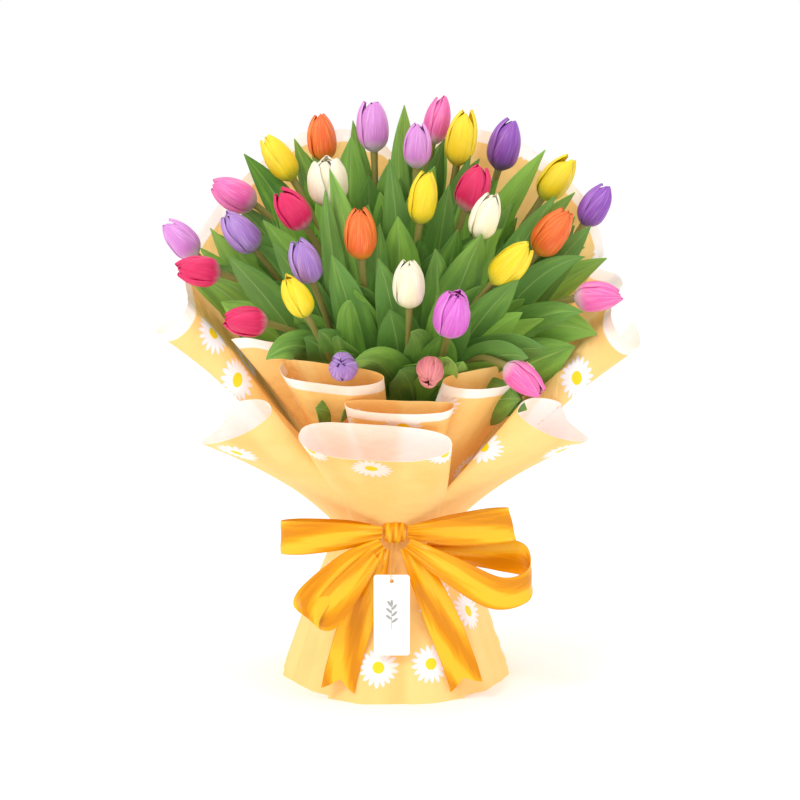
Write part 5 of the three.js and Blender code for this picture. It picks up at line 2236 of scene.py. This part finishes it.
@dataclass(frozen=True)
class Studio:
    """The camera, the pale floor and the soft lights.

    Attributes:
        eye: where the camera stands, in metres.
        target: what it looks at, in metres.
        lens: its focal length.
    """

    eye: tuple[float, float, float] = (0.005, -1.9253, 0.6025)
    target: tuple[float, float, float] = (0.005, 0.0, 0.263)
    lens: float = 92.6

    def camera(self) -> None:
        """Makes the camera and hands it to the scene."""
        data = bpy.data.cameras.new("camera")
        data.lens = self.lens
        camera = bpy.data.objects.new("camera", data)
        camera.location = self.eye
        camera.rotation_euler = (Vector(self.target) - Vector(self.eye)).to_track_quat("-Z", "Y").to_euler()
        bpy.context.scene.collection.objects.link(camera)
        bpy.context.scene.camera = camera

    def floor(self) -> None:
        """Makes the pale floor."""
        mesh = bpy.data.meshes.new("floor")
        corners = [(-6.0, -4.0, 0.0), (6.0, -4.0, 0.0), (6.0, 9.0, 0.0), (-6.0, 9.0, 0.0)]
        mesh.from_pydata(corners, [], [(0, 1, 2, 3)])
        g = Graph("floor")
        grain = g.noise(g.place(), 0.01, 2, 0.5)
        colour = g.blend(grain, linear("#fefefe"), linear("#fcfcfc"))
        glow = {"Emission Color": linear("#ffffff"), "Emission Strength": 0.05}
        mesh.materials.append(g.surface({"Base Color": colour, "Roughness": 1.0, **glow}))
        floor = bpy.data.objects.new("floor", mesh)
        bpy.context.scene.collection.objects.link(floor)

    def lights(self) -> None:
        """Makes a bright world and three large soft lights."""
        world = bpy.data.worlds.new("studio")
        world.use_nodes = True
        background = world.node_tree.nodes["Background"]
        background.inputs["Color"].default_value = (1.0, 1.0, 1.0, 1.0)
        background.inputs["Strength"].default_value = 1.0
        bpy.context.scene.world = world
        for name, place, size, power in (
            ("key", (-1.0, -1.3, 1.6), 0.5, 12),
            ("fill", (1.6, -1.2, 1.1), 0.4, 3),
            ("top", (0.1, 0.3, 2.2), 0.6, 4),
        ):
            data = bpy.data.lights.new(name, "AREA")
            data.size = size
            data.energy = power
            light = bpy.data.objects.new(name, data)
            light.location = place
            light.rotation_euler = (Vector((0, 0, 0.28)) - Vector(place)).to_track_quat("-Z", "Y").to_euler()
            bpy.context.scene.collection.objects.link(light)
        bpy.context.scene.view_settings.view_transform = "Standard"


# ---------------------------------------------------------------- the whole bunch


def main() -> None:
    """Builds the bunch in order."""
    logging.basicConfig(level=logging.INFO, format="%(message)s")
    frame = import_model()
    waist = Waist.read()
    studio = Studio()
    studio.camera()
    tag = Tag(waist)
    thread = FibreFinish("#d99a1a", "#ffd97a", 0.3, 0.35).make("tag_thread")
    LOG.info("made %s", tag.make_thread(thread).name)
    LOG.info("finished %s", tag.finish_card(frame).name)

    bundle = Bundle(waist)
    given = bundle.given()
    petals = {colour: finish.make(f"petals_{colour}") for colour, finish in PETALS.items()}
    leaf, stem = LeafFinish().make("leaf"), StemFinish().make("stem")
    for tulip, place in zip(TULIPS, given):
        path = bundle.path(tulip, place)
        Flower().make(tulip, waist, petals[tulip.look or tulip.colour])
        Stem().make(tulip, bundle, path, stem)
        Leaves().make(tulip, bundle, path, leaf)
        LOG.info("made %s", tulip.node)

    wrap = Wrap(waist)
    both = PaperFinish().make("paper_printed_both_sides")
    lined = PaperFinish(inside=Face.PALE).make("paper_pale_inside")
    backs = PaperFinish(outside=Face.PALE).make("paper_pale_outside")
    cornets = [cornet.name for cornet in CORNETS]
    for sheet in SHEETS:
        if sheet.name not in cornets:
            paper = backs if sheet.outside is Face.PALE else both
            LOG.info("made %s", wrap.make(sheet, paper).name)
    for cornet in CORNETS:
        LOG.info("made %s", wrap.cornet(cornet, both if cornet.banded else lined).name)

    ribbon = Ribbon(waist, SatinFinish().make("satin"))
    made = [ribbon.band(), ribbon.knot()]
    made += [ribbon.loop(name) for name in LOOPS]
    made += [ribbon.tail(name) for name in TAILS]
    jute = FibreFinish("#9a7b48", "#cdb382", 0.7, 0.0).make("twine")
    made.append(Twine(waist).make(jute))
    for piece in made:
        LOG.info("made %s", piece.name)

    studio.floor()
    studio.lights()


if __name__ == "__main__":
    main()
